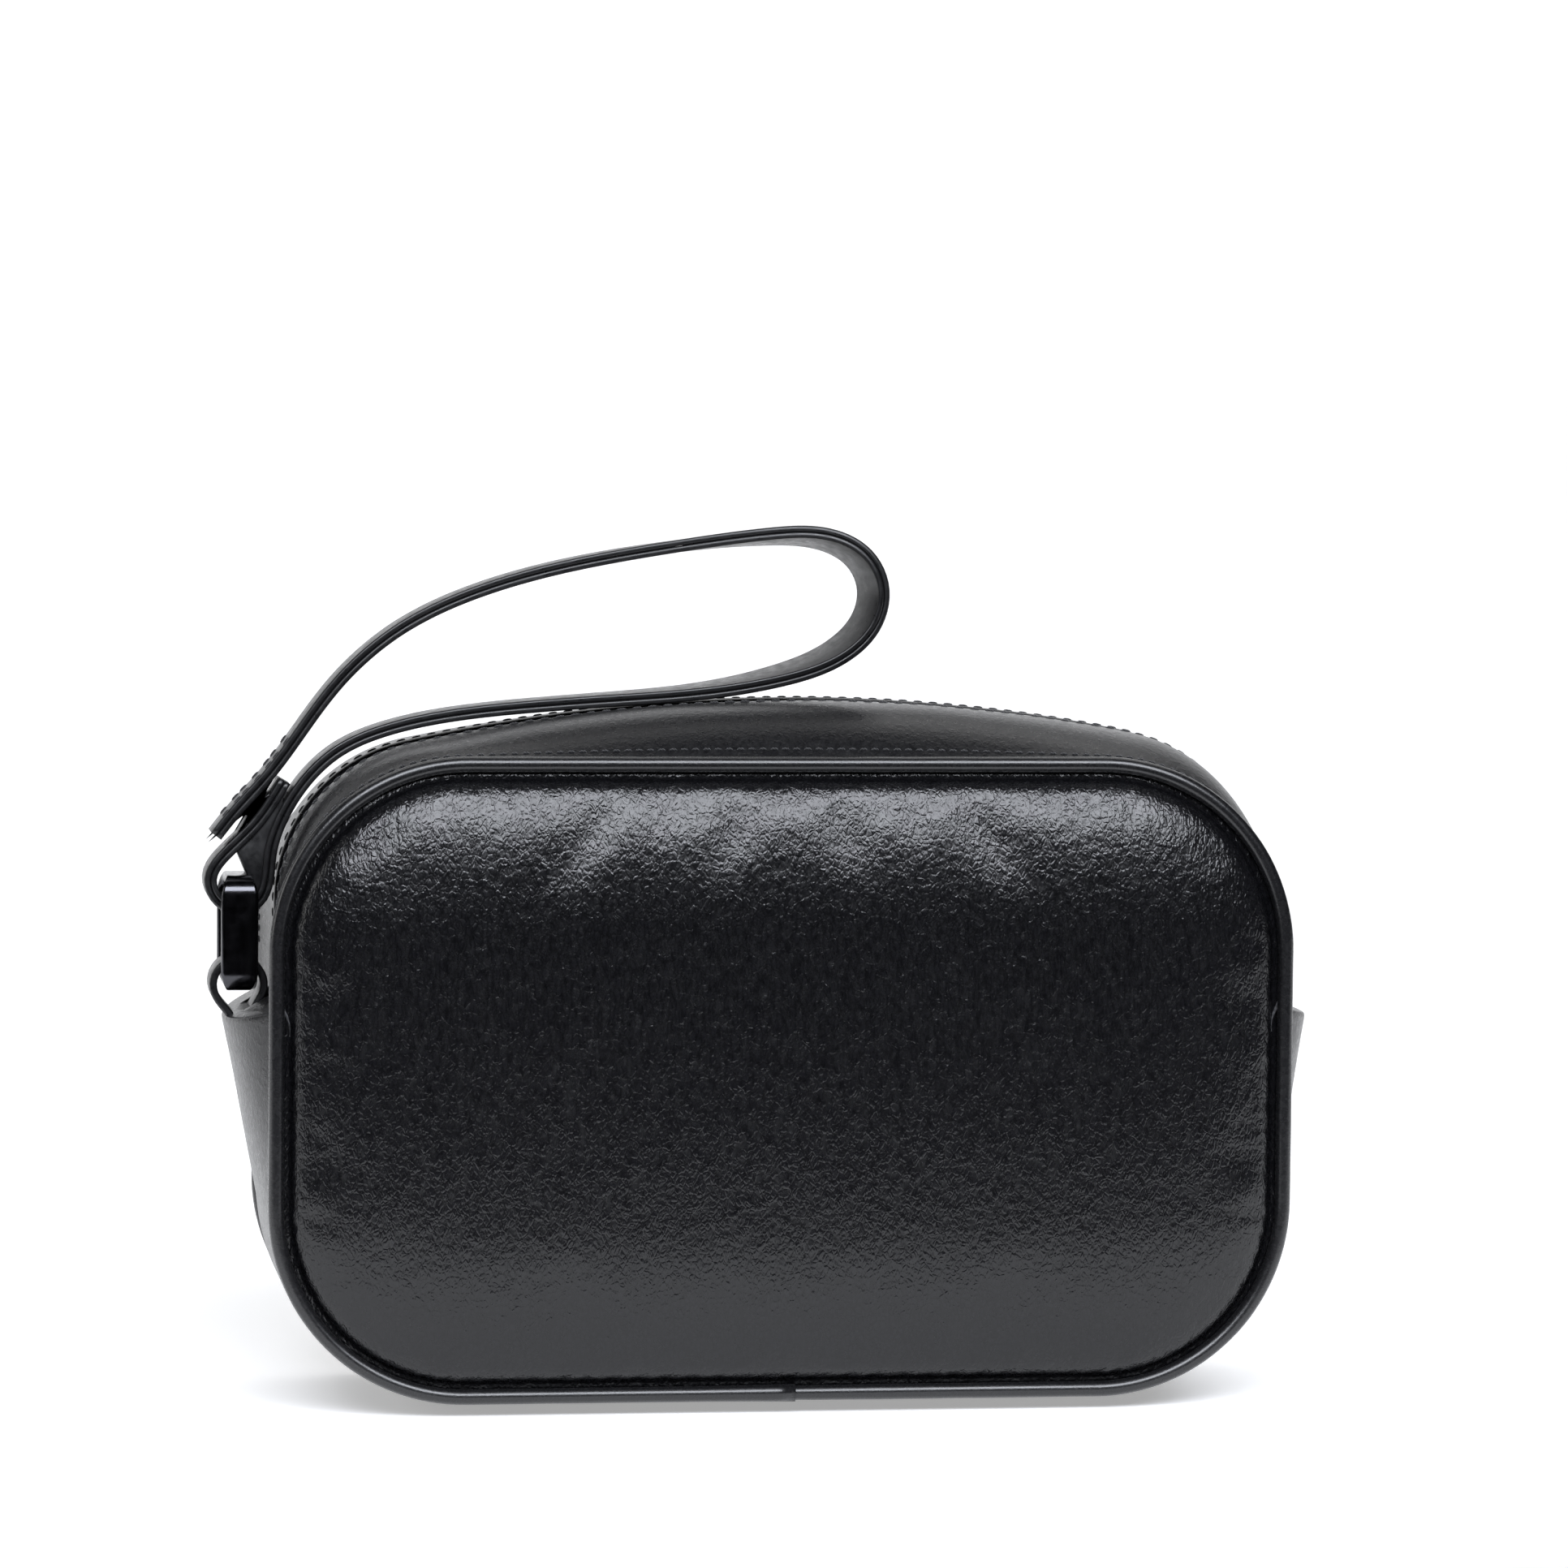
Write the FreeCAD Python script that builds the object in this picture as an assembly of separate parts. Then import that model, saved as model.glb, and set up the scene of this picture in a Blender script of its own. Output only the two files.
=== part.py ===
import FreeCAD, Part
import math
import os

from FreeCAD import Vector

# A zipped makeup bag: two domed leather panels joined by a bottom gusset and a zip gusset,
# with corded piping on both seams and a leather wrist strap on a flat-band ring.
# Millimetres. +X is the wearer's right when facing the bag, the front panel faces -Y, +Z is up.
# The origin is the middle of the flat underside, where the bag stands.

# ---- driving dimensions ----
SEAM_Y = 30.0            # the piped seams lie in the planes y = -30 and y = +30
SEAM_HALF_WIDTH = 103.4  # piping centre line
SEAM_LOW = 4.0
SEAM_HIGH = 132.4
SEAM_CORNER = 38.5
PIPING_R = 1.6
LEATHER = 1.4
GUSSET_LEATHER = 2.0
# domed panel: (inset from its rim, height above the seam plane)
DOME = [(0.0, 0.0), (1.2, 3.0), (5.0, 5.6), (14.0, 7.0), (30.0, 7.4)]
FOAM_BACK = 3.0          # flat back of the foam, outside the seam plane
LINING = 0.7
LINING_INSET = 5.0       # the lining's edge, inside the piping

GUSSET_EDGE_Y = 28.3     # gussets end against the piping
GUSSET_END_Z = 79.4      # the bottom gusset stops here, the zip gusset starts here
FLARE_SLOPE = 0.204      # outward lean of the bottom gusset's ends, at mid depth
FLARE_FOOT_X = 96.9      # where the leaning side line meets the base
FOOT_CORNER = 41.0

CROWN_TOP = 144.2
CROWN_R = 370.0
CROWN_X = 6.0            # the crown's highest point sits right of the middle
CROWN_CORNER = 34.0
ZIP_SIDE_X = 102.0

MOUTH_HALF = 62.0        # the part of the zip gusset that opens
MOUTH_HINGE_Z = 100.0
MOUTH_GAP = 0.3
STRIP_EDGE_Y = 5.0       # edge of each leather strip beside the zip

TAPE_DEPTH = 5.2         # top of the zip tape, below the leather's outer face
TAPE_THICKNESS = 0.8
TAPE_HALF = 10.0
TAPE_GAP = 0.3
TOOTH_PITCH = 2.6
TOOTH_LONG = 1.0
TOOTH_TALL = 1.9
TOOTH_REACH = 0.8        # how far a tooth crosses the middle
TOOTH_ROOT = 3.4

SLIDER_X = 71.0          # the slider's middle when the zip is closed
SLIDER_LENGTH = 12.0
SLIDER_HALF_WIDTH = 4.5
SLIDER_TOP = 1.4         # depths below the leather's outer face
SLIDER_TOP_UNDER = 2.8
SLIDER_BASE = 6.3
SLIDER_BASE_UNDER = 7.5
PIN_R = 0.5
PULL_EYE_R = 1.0
PULL_LENGTH = 17.0
PULL_HALF_WIDTH = 2.0
PULL_THICKNESS = 1.0

RING_X = -109.7
RING_Z = 96.4
RING_TALL = 23.6
RING_DEEP = 19.0
RING_CORNER = 3.8        # outer corners; the bars are straight where the leather goes round them
RING_BAND_WIDTH = 8.0
RING_BAND = 2.2
RING_BAR_DROP = RING_TALL / 2 - RING_BAND / 2
EYE_R = 4.4              # room for the ring's flat bar to turn in a leather fold
TAB_THICKNESS = 1.6
STRAP_HALF_WIDTH = 5.5
STRAP_LAYER = 1.3
# centre line of the wrist strap in the plane y = 0: from its end in the stitched stack, under the
# ring's top bar, up along the bag's crown, round the loop's tip and back to the outer end
STRAP_LINE = [
    (-100.4, 127.4), (-106.3, 118.6), (-112.0, 112.9), (-115.5, 107.1), (-113.8, 103.0),
    (-109.7, 101.3), (-105.6, 103.0), (-103.9, 107.1), (-103.2, 113.0), (-100.6, 120.5),
    (-96.0, 127.6), (-90.0, 133.2), (-80.0, 137.8), (-66.0, 140.9), (-50.0, 142.7),
    (-32.0, 144.1), (-14.0, 145.8), (2.0, 149.0), (14.0, 153.9), (20.2, 160.2),
    (21.6, 167.2), (18.6, 173.4), (11.2, 177.3), (0.0, 177.8), (-22.7, 175.2),
    (-42.0, 171.7), (-62.0, 165.9), (-77.5, 158.2), (-90.4, 146.6), (-99.0, 134.9),
    (-104.6, 127.6), (-110.4, 121.2), (-114.4, 116.2),
]

POCKET_HALF_WIDTH = 70.0
POCKET_LOW = 30.0
POCKET_HIGH = 90.0
POCKET_DEEP = 6.0
POCKET_WALL = 0.8
BOARD_HALF_LENGTH = 54.0
BOARD_HALF_WIDTH = 18.0
BOARD_THICKNESS = 1.5

FAR = 400.0


# ---- helpers ----
def save(node, shape):
    """Write one sub-part."""
    if not shape.isValid():
        raise ValueError(node + " is not valid")
    print(f"{node:22s} solids {len(shape.Solids):3d}  volume {shape.Volume / 1000:8.2f} cm3")
    shape.exportStep("parts/" + node + ".step")


def box(x0, x1, y0, y1, z0, z1):
    """Solid box between two corners."""
    return Part.makeBox(x1 - x0, y1 - y0, z1 - z0, Vector(x0, y0, z0))


def arc(start, middle, end):
    """Circular edge through three points."""
    return Part.Arc(start, middle, end).toShape()


def corner_arc(cx, cz, radius, y, start_deg, end_deg):
    """Arc in the plane y about (cx, cz), angles from +X towards +Z."""
    def point(deg):
        a = math.radians(deg)
        return Vector(cx + radius * math.cos(a), y, cz + radius * math.sin(a))
    return arc(point(start_deg), point((start_deg + end_deg) / 2), point(end_deg))


def ends(edges):
    """Closed wire through the edges in turn, with straight edges across the gaps between them."""
    joined = []
    for this, following in zip(edges, edges[1:] + edges[:1]):
        joined.append(this)
        start = this.valueAt(this.LastParameter)
        end = following.valueAt(following.FirstParameter)
        if start.distanceToPoint(end) > 1e-6:
            joined.append(Part.LineSegment(start, end).toShape())
    return Part.Wire(joined)


def seam_outline(inset, y):
    """Rounded rectangle inside the piping's centre line."""
    radius = SEAM_CORNER - inset
    x = SEAM_HALF_WIDTH - SEAM_CORNER
    low = SEAM_LOW + SEAM_CORNER
    high = SEAM_HIGH - SEAM_CORNER
    return ends([
        corner_arc(x, high, radius, y, 0, 90),
        corner_arc(-x, high, radius, y, 90, 180),
        corner_arc(-x, low, radius, y, 180, 270),
        corner_arc(x, low, radius, y, 270, 360),
    ])


def base_outline(bulge, inset, y):
    """Outline of the bottom gusset: bulge is 0 at the seam and 1 at mid depth."""
    slope = FLARE_SLOPE * bulge
    lean = math.sqrt(1 + slope * slope)
    seam_x = SEAM_HALF_WIDTH + PIPING_R / 2
    foot = seam_x + (FLARE_FOOT_X - seam_x) * bulge - inset * lean
    low = (SEAM_LOW - PIPING_R / 2) * (1 - bulge) + inset
    radius = SEAM_CORNER + PIPING_R / 2 + (FOOT_CORNER - SEAM_CORNER - PIPING_R / 2) * bulge - inset
    cx = foot + slope * (low + radius) - radius * lean
    tilt = math.degrees(math.atan(slope))
    top_z = GUSSET_END_Z + 30
    top_x = foot + slope * top_z
    lid = Part.LineSegment(Vector(top_x, y, top_z), Vector(-top_x, y, top_z)).toShape()
    return ends([
        lid,
        corner_arc(-cx, low + radius, radius, y, 180 + tilt, 270),
        corner_arc(cx, low + radius, radius, y, 270, 360 - tilt),
    ])


def crown_outline(bulge, inset, y):
    """Outline of the zip gusset, closed low down inside the bag."""
    seam = PIPING_R / 2
    half = SEAM_HALF_WIDTH + seam + (ZIP_SIDE_X - SEAM_HALF_WIDTH - seam) * bulge - inset
    top = SEAM_HIGH + seam + (CROWN_TOP - SEAM_HIGH - seam) * bulge - inset
    radius = CROWN_R / (bulge + 0.04 * (1 - bulge)) - inset
    corner = SEAM_CORNER + seam + (CROWN_CORNER - SEAM_CORNER - seam) * bulge - inset
    cx = CROWN_X * bulge
    cz = top - radius
    reach = half - corner

    def lift(dx):
        return cz + math.sqrt((radius - corner) ** 2 - dx * dx)

    right_z = lift(reach - cx)
    left_z = lift(-reach - cx)
    right_deg = math.degrees(math.atan2(right_z - cz, reach - cx))
    left_deg = math.degrees(math.atan2(left_z - cz, -reach - cx))
    floor_z = GUSSET_END_Z - 20
    floor_edge = Part.LineSegment(Vector(-half, y, floor_z), Vector(half, y, floor_z)).toShape()
    return ends([
        corner_arc(reach, right_z, corner, y, 0, right_deg),
        corner_arc(cx, cz, radius, y, right_deg, left_deg),
        corner_arc(-reach, left_z, corner, y, left_deg, 180),
        floor_edge,
    ])


def lofted(outline, stations, inset):
    """Ruled solid through the outlines at (y, bulge) stations."""
    return Part.makeLoft([outline(bulge, inset, y) for y, bulge in stations], True, True)


def domed(inset, sign):
    """Solid pillow half that stands out of a seam plane."""
    wires = []
    for rim, height in DOME:
        rise = max(height - inset, 0.0) if rim else 0.0
        wires.append(seam_outline(PIPING_R + rim + inset, sign * (SEAM_Y + rise)))
    return Part.makeLoft(wires, True, True)


def below(z):
    return box(-FAR, FAR, -FAR, FAR, -FAR, z)


def mouth_block(gap):
    """The middle part of the crown and of the panels' top edges, which opens."""
    half = MOUTH_HALF + gap
    return box(-half, half, -FAR, FAR, MOUTH_HINGE_Z - gap, FAR)


# ---- stations across the depth, for one side; sign is -1 for the front and +1 for the rear ----
CROWN_STATIONS = [(28.3, 0.0), (22.0, 0.62), (15.0, 0.92), (8.0, 1.0), (5.0, 1.0)]
BASE_STATIONS = [(-28.3, 0.0), (-24.0, 0.75), (-19.0, 1.0), (19.0, 1.0), (24.0, 0.75), (28.3, 0.0)]


def make_panel(name, sign):
    """Outer leather of one face, its opening top part, its foam and its lining."""
    leather = domed(0.0, sign).cut(domed(LEATHER, sign))
    save(name + "_panel", leather.cut(mouth_block(MOUTH_GAP)))
    save(name + "_panel_top", leather.common(mouth_block(0.0)))
    foam_plane = SEAM_Y + FOAM_BACK
    slab = box(-FAR, FAR, *sorted((sign * foam_plane, sign * FAR)), -FAR, FAR)
    save(name + "_padding", domed(LEATHER + 0.1, sign).common(slab))
    near = sign * (foam_plane - 0.05)
    outline = Part.Face(seam_outline(PIPING_R + LINING_INSET, near))
    save(name + "_lining", outline.extrude(Vector(0, -sign * LINING, 0)))


def make_piping(name, sign):
    """Leather-covered cord along one seam, with the stretch over the mouth apart."""
    y = sign * SEAM_Y
    x = SEAM_HALF_WIDTH - SEAM_CORNER
    high = SEAM_HIGH - SEAM_CORNER
    low = SEAM_LOW + SEAM_CORNER
    right = corner_arc(x, high, SEAM_CORNER, y, 90, 0)
    right_low = corner_arc(x, low, SEAM_CORNER, y, 0, -90)
    left_low = corner_arc(-x, low, SEAM_CORNER, y, -90, -180)
    left = corner_arc(-x, high, SEAM_CORNER, y, 180, 90)
    loop = [right]
    for edge in (right_low, left_low, left):
        loop.append(Part.LineSegment(loop[-1].Vertexes[-1].Point, edge.Vertexes[0].Point).toShape())
        loop.append(edge)
    start = Vector(x, y, SEAM_HIGH)
    section = Part.Wire(Part.makeCircle(PIPING_R, start, Vector(1, 0, 0)))
    tube = Part.Wire(loop).makePipeShell([section], True, False)
    bar = Part.makeCylinder(PIPING_R, 2 * x, Vector(-x, y, SEAM_HIGH), Vector(1, 0, 0))
    ring = tube.fuse(bar)
    save(name + "_piping", ring.cut(mouth_block(MOUTH_GAP)))
    save(name + "_piping_top", ring.common(mouth_block(0.0)))


def make_strips(name, sign):
    """Leather strip between one seam and the zip: the opening lip and its two fixed ends."""
    stations = [(sign * y, bulge) for y, bulge in CROWN_STATIONS]
    strip = lofted(crown_outline, stations, 0.0).cut(lofted(crown_outline, stations, GUSSET_LEATHER))
    strip = strip.cut(below(GUSSET_END_Z + 0.2))
    save(name + "_lip", strip.common(mouth_block(0.0)))
    for side, direction in (("left", -1), ("right", 1)):
        half_space = box(*sorted((0, direction * FAR)), -FAR, FAR, 0, FAR)
        save(name + "_strip_" + side, strip.cut(mouth_block(MOUTH_GAP)).common(half_space))


def tape_band(y0, y1):
    """Zip tape all round the crown between two depths."""
    def slab(inset):
        wire = crown_outline(1.0, inset, y0)
        return Part.Face(wire).extrude(Vector(0, y1 - y0, 0))
    band = slab(TAPE_DEPTH).cut(slab(TAPE_DEPTH + TAPE_THICKNESS))
    return band.cut(below(GUSSET_END_Z + 0.5))


def zip_path(distance):
    """Point and tilt of the chain at a distance from the crown's top, positive to the right."""
    inset = TAPE_DEPTH - 0.1 - TOOTH_TALL / 2
    radius = CROWN_R - inset
    corner = CROWN_CORNER - inset
    side = 1 if distance > 0 else -1
    crown_z = CROWN_TOP - CROWN_R
    reach = ZIP_SIDE_X - CROWN_CORNER
    turn = math.asin((reach - side * CROWN_X) / (CROWN_R - CROWN_CORNER))
    along = abs(distance)
    if along <= radius * turn:
        a = along / radius
        return CROWN_X + side * radius * math.sin(a), crown_z + radius * math.cos(a), side * a
    corner_z = crown_z + (CROWN_R - CROWN_CORNER) * math.cos(turn)
    rest = along - radius * turn
    if rest <= corner * (math.pi / 2 - turn):
        a = turn + rest / corner
        return side * (reach + corner * math.sin(a)), corner_z + corner * math.cos(a), side * a
    drop = rest - corner * (math.pi / 2 - turn)
    return side * (reach + corner), corner_z - drop, side * math.pi / 2


def make_teeth(sign):
    """One row of teeth, as separate blocks standing on the tape's edge."""
    y0, y1 = sorted((-sign * TOOTH_REACH, sign * TOOTH_ROOT))
    blocks = []
    shift = 0.0 if sign < 0 else TOOTH_PITCH / 2
    for i in range(-52, 53):
        x, z, tilt = zip_path(i * TOOTH_PITCH + shift + 0.01)
        if z < GUSSET_END_Z + 5:
            continue
        if abs(abs(x) - MOUTH_HALF) < TOOTH_LONG + MOUTH_GAP:
            continue
        block = box(-TOOTH_LONG / 2, TOOTH_LONG / 2, y0, y1, -TOOTH_TALL / 2, TOOTH_TALL / 2)
        block.rotate(Vector(0, 0, 0), Vector(0, 1, 0), math.degrees(tilt))
        block.translate(Vector(x, 0, z))
        blocks.append((x, block))
    return blocks


def make_zip():
    """Tapes and teeth: opening parts ride with the lips, end parts stay with the bag."""
    tapes = {"front": tape_band(-TAPE_HALF, -TAPE_GAP), "rear": tape_band(TAPE_GAP, TAPE_HALF)}
    rows = {"front": make_teeth(-1), "rear": make_teeth(1)}
    for name in ("front", "rear"):
        save(name + "_zip_tape", tapes[name].common(mouth_block(0.0)))
        inner = [block for x, block in rows[name] if abs(x) < MOUTH_HALF]
        save(name + "_teeth", Part.makeCompound(inner))
    for side, direction in (("left", -1), ("right", 1)):
        half_space = box(*sorted((0, direction * FAR)), -FAR, FAR, 0, FAR)
        pieces = [tapes[name].cut(mouth_block(MOUTH_GAP)).common(half_space) for name in tapes]
        save("zip_tape_" + side, Part.makeCompound(pieces))
        outer = [block for row in rows.values() for x, block in row if direction * x > MOUTH_HALF]
        save("zip_teeth_" + side, Part.makeCompound(outer))
        x = direction * (ZIP_SIDE_X - TAPE_DEPTH)
        stop = box(*sorted((x + direction * 0.1, x + direction * 2.4)), -3.4, 3.4,
                   GUSSET_END_Z + 1.0, GUSSET_END_Z + 4.2)
        save("zip_stop_" + side, stop)


def on_chain(shape, x):
    """Carry a shape from the crown's top along the crown to the place x."""
    centre = Vector(CROWN_X, 0, CROWN_TOP - CROWN_R)
    angle = math.degrees(math.asin((x - CROWN_X) / CROWN_R))
    shape.rotate(centre, Vector(0, 1, 0), angle)
    return shape


def rounded_plate(length, half_width, z0, z1, radius):
    """Flat plate along X about the crown's top, with rounded corners."""
    plate = box(CROWN_X - length / 2, CROWN_X + length / 2, -half_width, half_width, z0, z1)
    upright = [e for e in plate.Edges if abs(e.Vertexes[0].Z - e.Vertexes[1].Z) > (z1 - z0) / 2]
    return plate.makeFillet(radius, upright)


def make_slider():
    """Slider plates with two ears, the pin in the ears, and the pull on the pin."""
    top = rounded_plate(SLIDER_LENGTH, SLIDER_HALF_WIDTH, CROWN_TOP - SLIDER_TOP_UNDER,
                        CROWN_TOP - SLIDER_TOP, 2.0)
    base = rounded_plate(SLIDER_LENGTH, SLIDER_HALF_WIDTH, CROWN_TOP - SLIDER_BASE_UNDER,
                         CROWN_TOP - SLIDER_BASE, 2.0)
    pin_x = CROWN_X - SLIDER_LENGTH / 2 - PULL_EYE_R - 0.5
    pin_z = CROWN_TOP - (SLIDER_TOP + SLIDER_TOP_UNDER) / 2 + 0.2
    for y in (-3.6, 2.4):
        ear = box(pin_x, CROWN_X - 3, y, y + 1.2, CROWN_TOP - SLIDER_TOP_UNDER, CROWN_TOP - SLIDER_TOP)
        knuckle = Part.makeCylinder(PULL_EYE_R, 1.2, Vector(pin_x, y, pin_z), Vector(0, 1, 0))
        bore = Part.makeCylinder(PIN_R, 1.2, Vector(pin_x, y, pin_z), Vector(0, 1, 0))
        top = top.fuse([ear, knuckle]).cut(bore)
    top = top.removeSplitter()
    save("zip_slider", on_chain(Part.makeCompound([top, base]), SLIDER_X))
    pin = Part.makeCylinder(PIN_R, 7.2, Vector(pin_x, -3.6, pin_z), Vector(0, 1, 0))
    save("pull_pin", on_chain(pin, SLIDER_X))
    eye = Part.makeCylinder(PULL_EYE_R, 2 * PULL_HALF_WIDTH, Vector(pin_x, -PULL_HALF_WIDTH, pin_z), Vector(0, 1, 0))
    blade = box(pin_x - PULL_LENGTH, pin_x, -PULL_HALF_WIDTH, PULL_HALF_WIDTH,
                pin_z - PULL_THICKNESS / 2, pin_z + PULL_THICKNESS / 2)
    ends_up = [e for e in blade.Edges if abs(e.Vertexes[0].Z - e.Vertexes[1].Z) > 0.5]
    outer = [e for e in ends_up if e.Vertexes[0].X < pin_x - 1]
    blade = blade.makeFillet(0.9 * PULL_HALF_WIDTH, outer)
    bore = Part.makeCylinder(PIN_R + 0.05, 6, Vector(pin_x, -3, pin_z), Vector(0, 1, 0))
    pull = eye.fuse(blade).removeSplitter().cut(bore)
    save("zip_pull", on_chain(pull, SLIDER_X))


def make_bottom():
    """Bottom gusset, its lining and the stiffener board between them and the bag's contents."""
    gusset = lofted(base_outline, BASE_STATIONS, 0.0).cut(lofted(base_outline, BASE_STATIONS, GUSSET_LEATHER))
    above = box(-FAR, FAR, -FAR, FAR, GUSSET_END_Z, FAR)
    save("bottom_gusset", gusset.cut(above))
    inset = GUSSET_LEATHER + TAB_THICKNESS * 2 + 0.4
    lining = lofted(base_outline, BASE_STATIONS, inset)
    lining = lining.cut(lofted(base_outline, BASE_STATIONS, inset + LINING))
    save("gusset_lining", lining.cut(above))
    board_z = GUSSET_LEATHER + 0.2
    board = box(-BOARD_HALF_LENGTH, BOARD_HALF_LENGTH, -BOARD_HALF_WIDTH, BOARD_HALF_WIDTH,
                board_z, board_z + BOARD_THICKNESS)
    upright = [e for e in board.Edges if abs(e.Vertexes[0].Z - e.Vertexes[1].Z) > 1]
    save("base_board", board.makeFillet(12.0, upright))


def make_pocket():
    """Flat slip pocket on the rear lining, open at its top."""
    y = SEAM_Y + FOAM_BACK - 0.05 - LINING
    wall = POCKET_WALL
    back = box(-POCKET_HALF_WIDTH, POCKET_HALF_WIDTH, y - POCKET_DEEP, y, POCKET_LOW, POCKET_HIGH)
    room = box(-POCKET_HALF_WIDTH + wall, POCKET_HALF_WIDTH - wall, y - POCKET_DEEP + wall, y,
               POCKET_LOW + wall, FAR)
    save("slip_pocket", back.cut(room))


def make_ring():
    """Flat-band ring, a rounded rectangle with its hole along X."""
    def plate(inset):
        half_deep = RING_DEEP / 2 - inset
        half_tall = RING_TALL / 2 - inset
        block = Part.makeBox(RING_BAND_WIDTH, 2 * half_deep, 2 * half_tall,
                             Vector(RING_X - RING_BAND_WIDTH / 2, -half_deep, RING_Z - half_tall))
        along_x = [e for e in block.Edges if abs(e.Vertexes[0].X - e.Vertexes[1].X) > RING_BAND_WIDTH / 2]
        return block.makeFillet(RING_CORNER - inset, along_x)

    save("strap_ring", plate(0.0).cut(plate(RING_BAND)))


def make_tab():
    """Leather tab: an eye round the ring's bottom bar and a tongue sewn inside the gusset."""
    z = RING_Z - RING_BAR_DROP
    outer = EYE_R + TAB_THICKNESS
    eye = Part.makeCylinder(outer, 2 * STRAP_HALF_WIDTH, Vector(RING_X, -STRAP_HALF_WIDTH, z), Vector(0, 1, 0))
    hole = Part.makeCylinder(EYE_R, 2 * STRAP_HALF_WIDTH, Vector(RING_X, -STRAP_HALF_WIDTH, z), Vector(0, 1, 0))
    wall = -(FLARE_FOOT_X - (GUSSET_LEATHER + 0.2) * math.sqrt(1 + FLARE_SLOPE ** 2))
    thick = 2 * TAB_THICKNESS
    top_z = z - EYE_R
    low_z = GUSSET_END_Z - 16
    corners = [(wall - FLARE_SLOPE * top_z, top_z), (wall - FLARE_SLOPE * low_z, low_z),
               (wall - FLARE_SLOPE * low_z + thick, low_z), (wall - FLARE_SLOPE * top_z + thick, top_z)]
    points = [Vector(x, -STRAP_HALF_WIDTH, pz) for x, pz in corners]
    tongue = Part.Face(Part.makePolygon(points + points[:1])).extrude(Vector(0, 2 * STRAP_HALF_WIDTH, 0))
    save("ring_tab", eye.fuse(tongue).cut(hole).removeSplitter())


def make_strap():
    """Wrist strap: two leather layers glued back to back, bent along one line."""
    line = Part.BSplineCurve()
    line.interpolate([Vector(x, 0, z) for x, z in STRAP_LINE])
    first, last = line.FirstParameter, line.LastParameter
    steps = 3 * len(STRAP_LINE)

    def side(offset):
        points = []
        for i in range(steps + 1):
            u = first + (last - first) * i / steps
            tangent = line.tangent(u)[0]
            points.append(line.value(u) + Vector(-tangent.z, 0, tangent.x) * offset)
        curve = Part.BSplineCurve()
        curve.interpolate(points)
        return curve.toShape(), points[0], points[-1]

    def layer(inner, outer):
        a, a0, a1 = side(inner)
        b, b0, b1 = side(outer)
        wire = Part.Wire([a, Part.LineSegment(a1, b1).toShape(), b, Part.LineSegment(b0, a0).toShape()])
        face = Part.Face(wire)
        face.translate(Vector(0, -STRAP_HALF_WIDTH, 0))
        return face.extrude(Vector(0, 2 * STRAP_HALF_WIDTH, 0))

    save("strap_outer_layer", layer(-STRAP_LAYER, -0.02))
    save("strap_inner_layer", layer(0.02, STRAP_LAYER))


os.makedirs("parts", exist_ok=True)
for face_name, face_sign in (("front", -1), ("rear", 1)):
    make_panel(face_name, face_sign)
    make_piping(face_name, face_sign)
    make_strips(face_name, face_sign)
make_zip()
make_slider()
make_bottom()
make_pocket()
make_ring()
make_tab()
make_strap()
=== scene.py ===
"""Looks of the makeup bag: leather, piping, zip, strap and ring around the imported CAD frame.

Sizes below are in millimetres and are turned into metres when a mesh is made.
+X runs along the width, the front face looks along -Y, +Z is up.
"""

import math

import bmesh
import bpy
import numpy as np
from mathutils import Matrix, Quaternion, Vector, noise


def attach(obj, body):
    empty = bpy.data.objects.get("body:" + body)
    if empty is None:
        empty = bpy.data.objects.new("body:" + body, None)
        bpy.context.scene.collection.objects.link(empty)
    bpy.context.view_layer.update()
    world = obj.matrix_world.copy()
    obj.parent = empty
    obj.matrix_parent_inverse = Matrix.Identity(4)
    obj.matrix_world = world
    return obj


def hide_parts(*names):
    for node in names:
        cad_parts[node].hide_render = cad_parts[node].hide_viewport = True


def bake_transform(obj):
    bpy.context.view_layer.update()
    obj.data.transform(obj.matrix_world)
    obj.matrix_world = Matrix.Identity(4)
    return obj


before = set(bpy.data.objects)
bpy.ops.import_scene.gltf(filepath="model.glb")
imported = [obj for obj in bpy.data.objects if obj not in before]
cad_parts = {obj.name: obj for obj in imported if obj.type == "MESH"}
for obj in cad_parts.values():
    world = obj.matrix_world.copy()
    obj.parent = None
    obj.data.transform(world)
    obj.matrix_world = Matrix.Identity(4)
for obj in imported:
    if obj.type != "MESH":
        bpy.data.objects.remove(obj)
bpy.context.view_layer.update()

MM = 0.001
SIDES = {"front": -1.0, "rear": 1.0}

# ---- the bag's lines, as in the CAD ----
SEAM_Y = 30.0
SEAM_HALF = 103.4
SEAM_LOW = 4.0
SEAM_HIGH = 132.4
SEAM_CORNER = 38.5
PIPING_R = 1.6
CORE_X = SEAM_HALF - SEAM_CORNER  # half the seam's straight run along the top and the bottom
CORE_LOW = SEAM_LOW + SEAM_CORNER
CORE_HIGH = SEAM_HIGH - SEAM_CORNER
MID_Z = (SEAM_LOW + SEAM_HIGH) / 2

GUSSET_END = 79.4
GUSSET_THICK = 2.0
FLARE = 0.204  # outward lean of the bottom gusset's ends, per unit of height
FLARE_FOOT = 96.9  # where that leaning line meets the ground
FOOT_CORNER = 41.0
HIDE = PIPING_R / 2  # how far a gusset's edge reaches out from the seam's line, into the piping
ZIP_Y = 5.0  # depth of the zip gusset's edge beside the teeth
EDGE_Y = 28.3  # depth of a gusset's edge beside the piping
DIP = 3.0  # how far the bottom gusset's top edge dips between the seams
SEAM_CURVE = 0.04  # curvature of the top edge at the seam, as a share of the crown's

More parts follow.
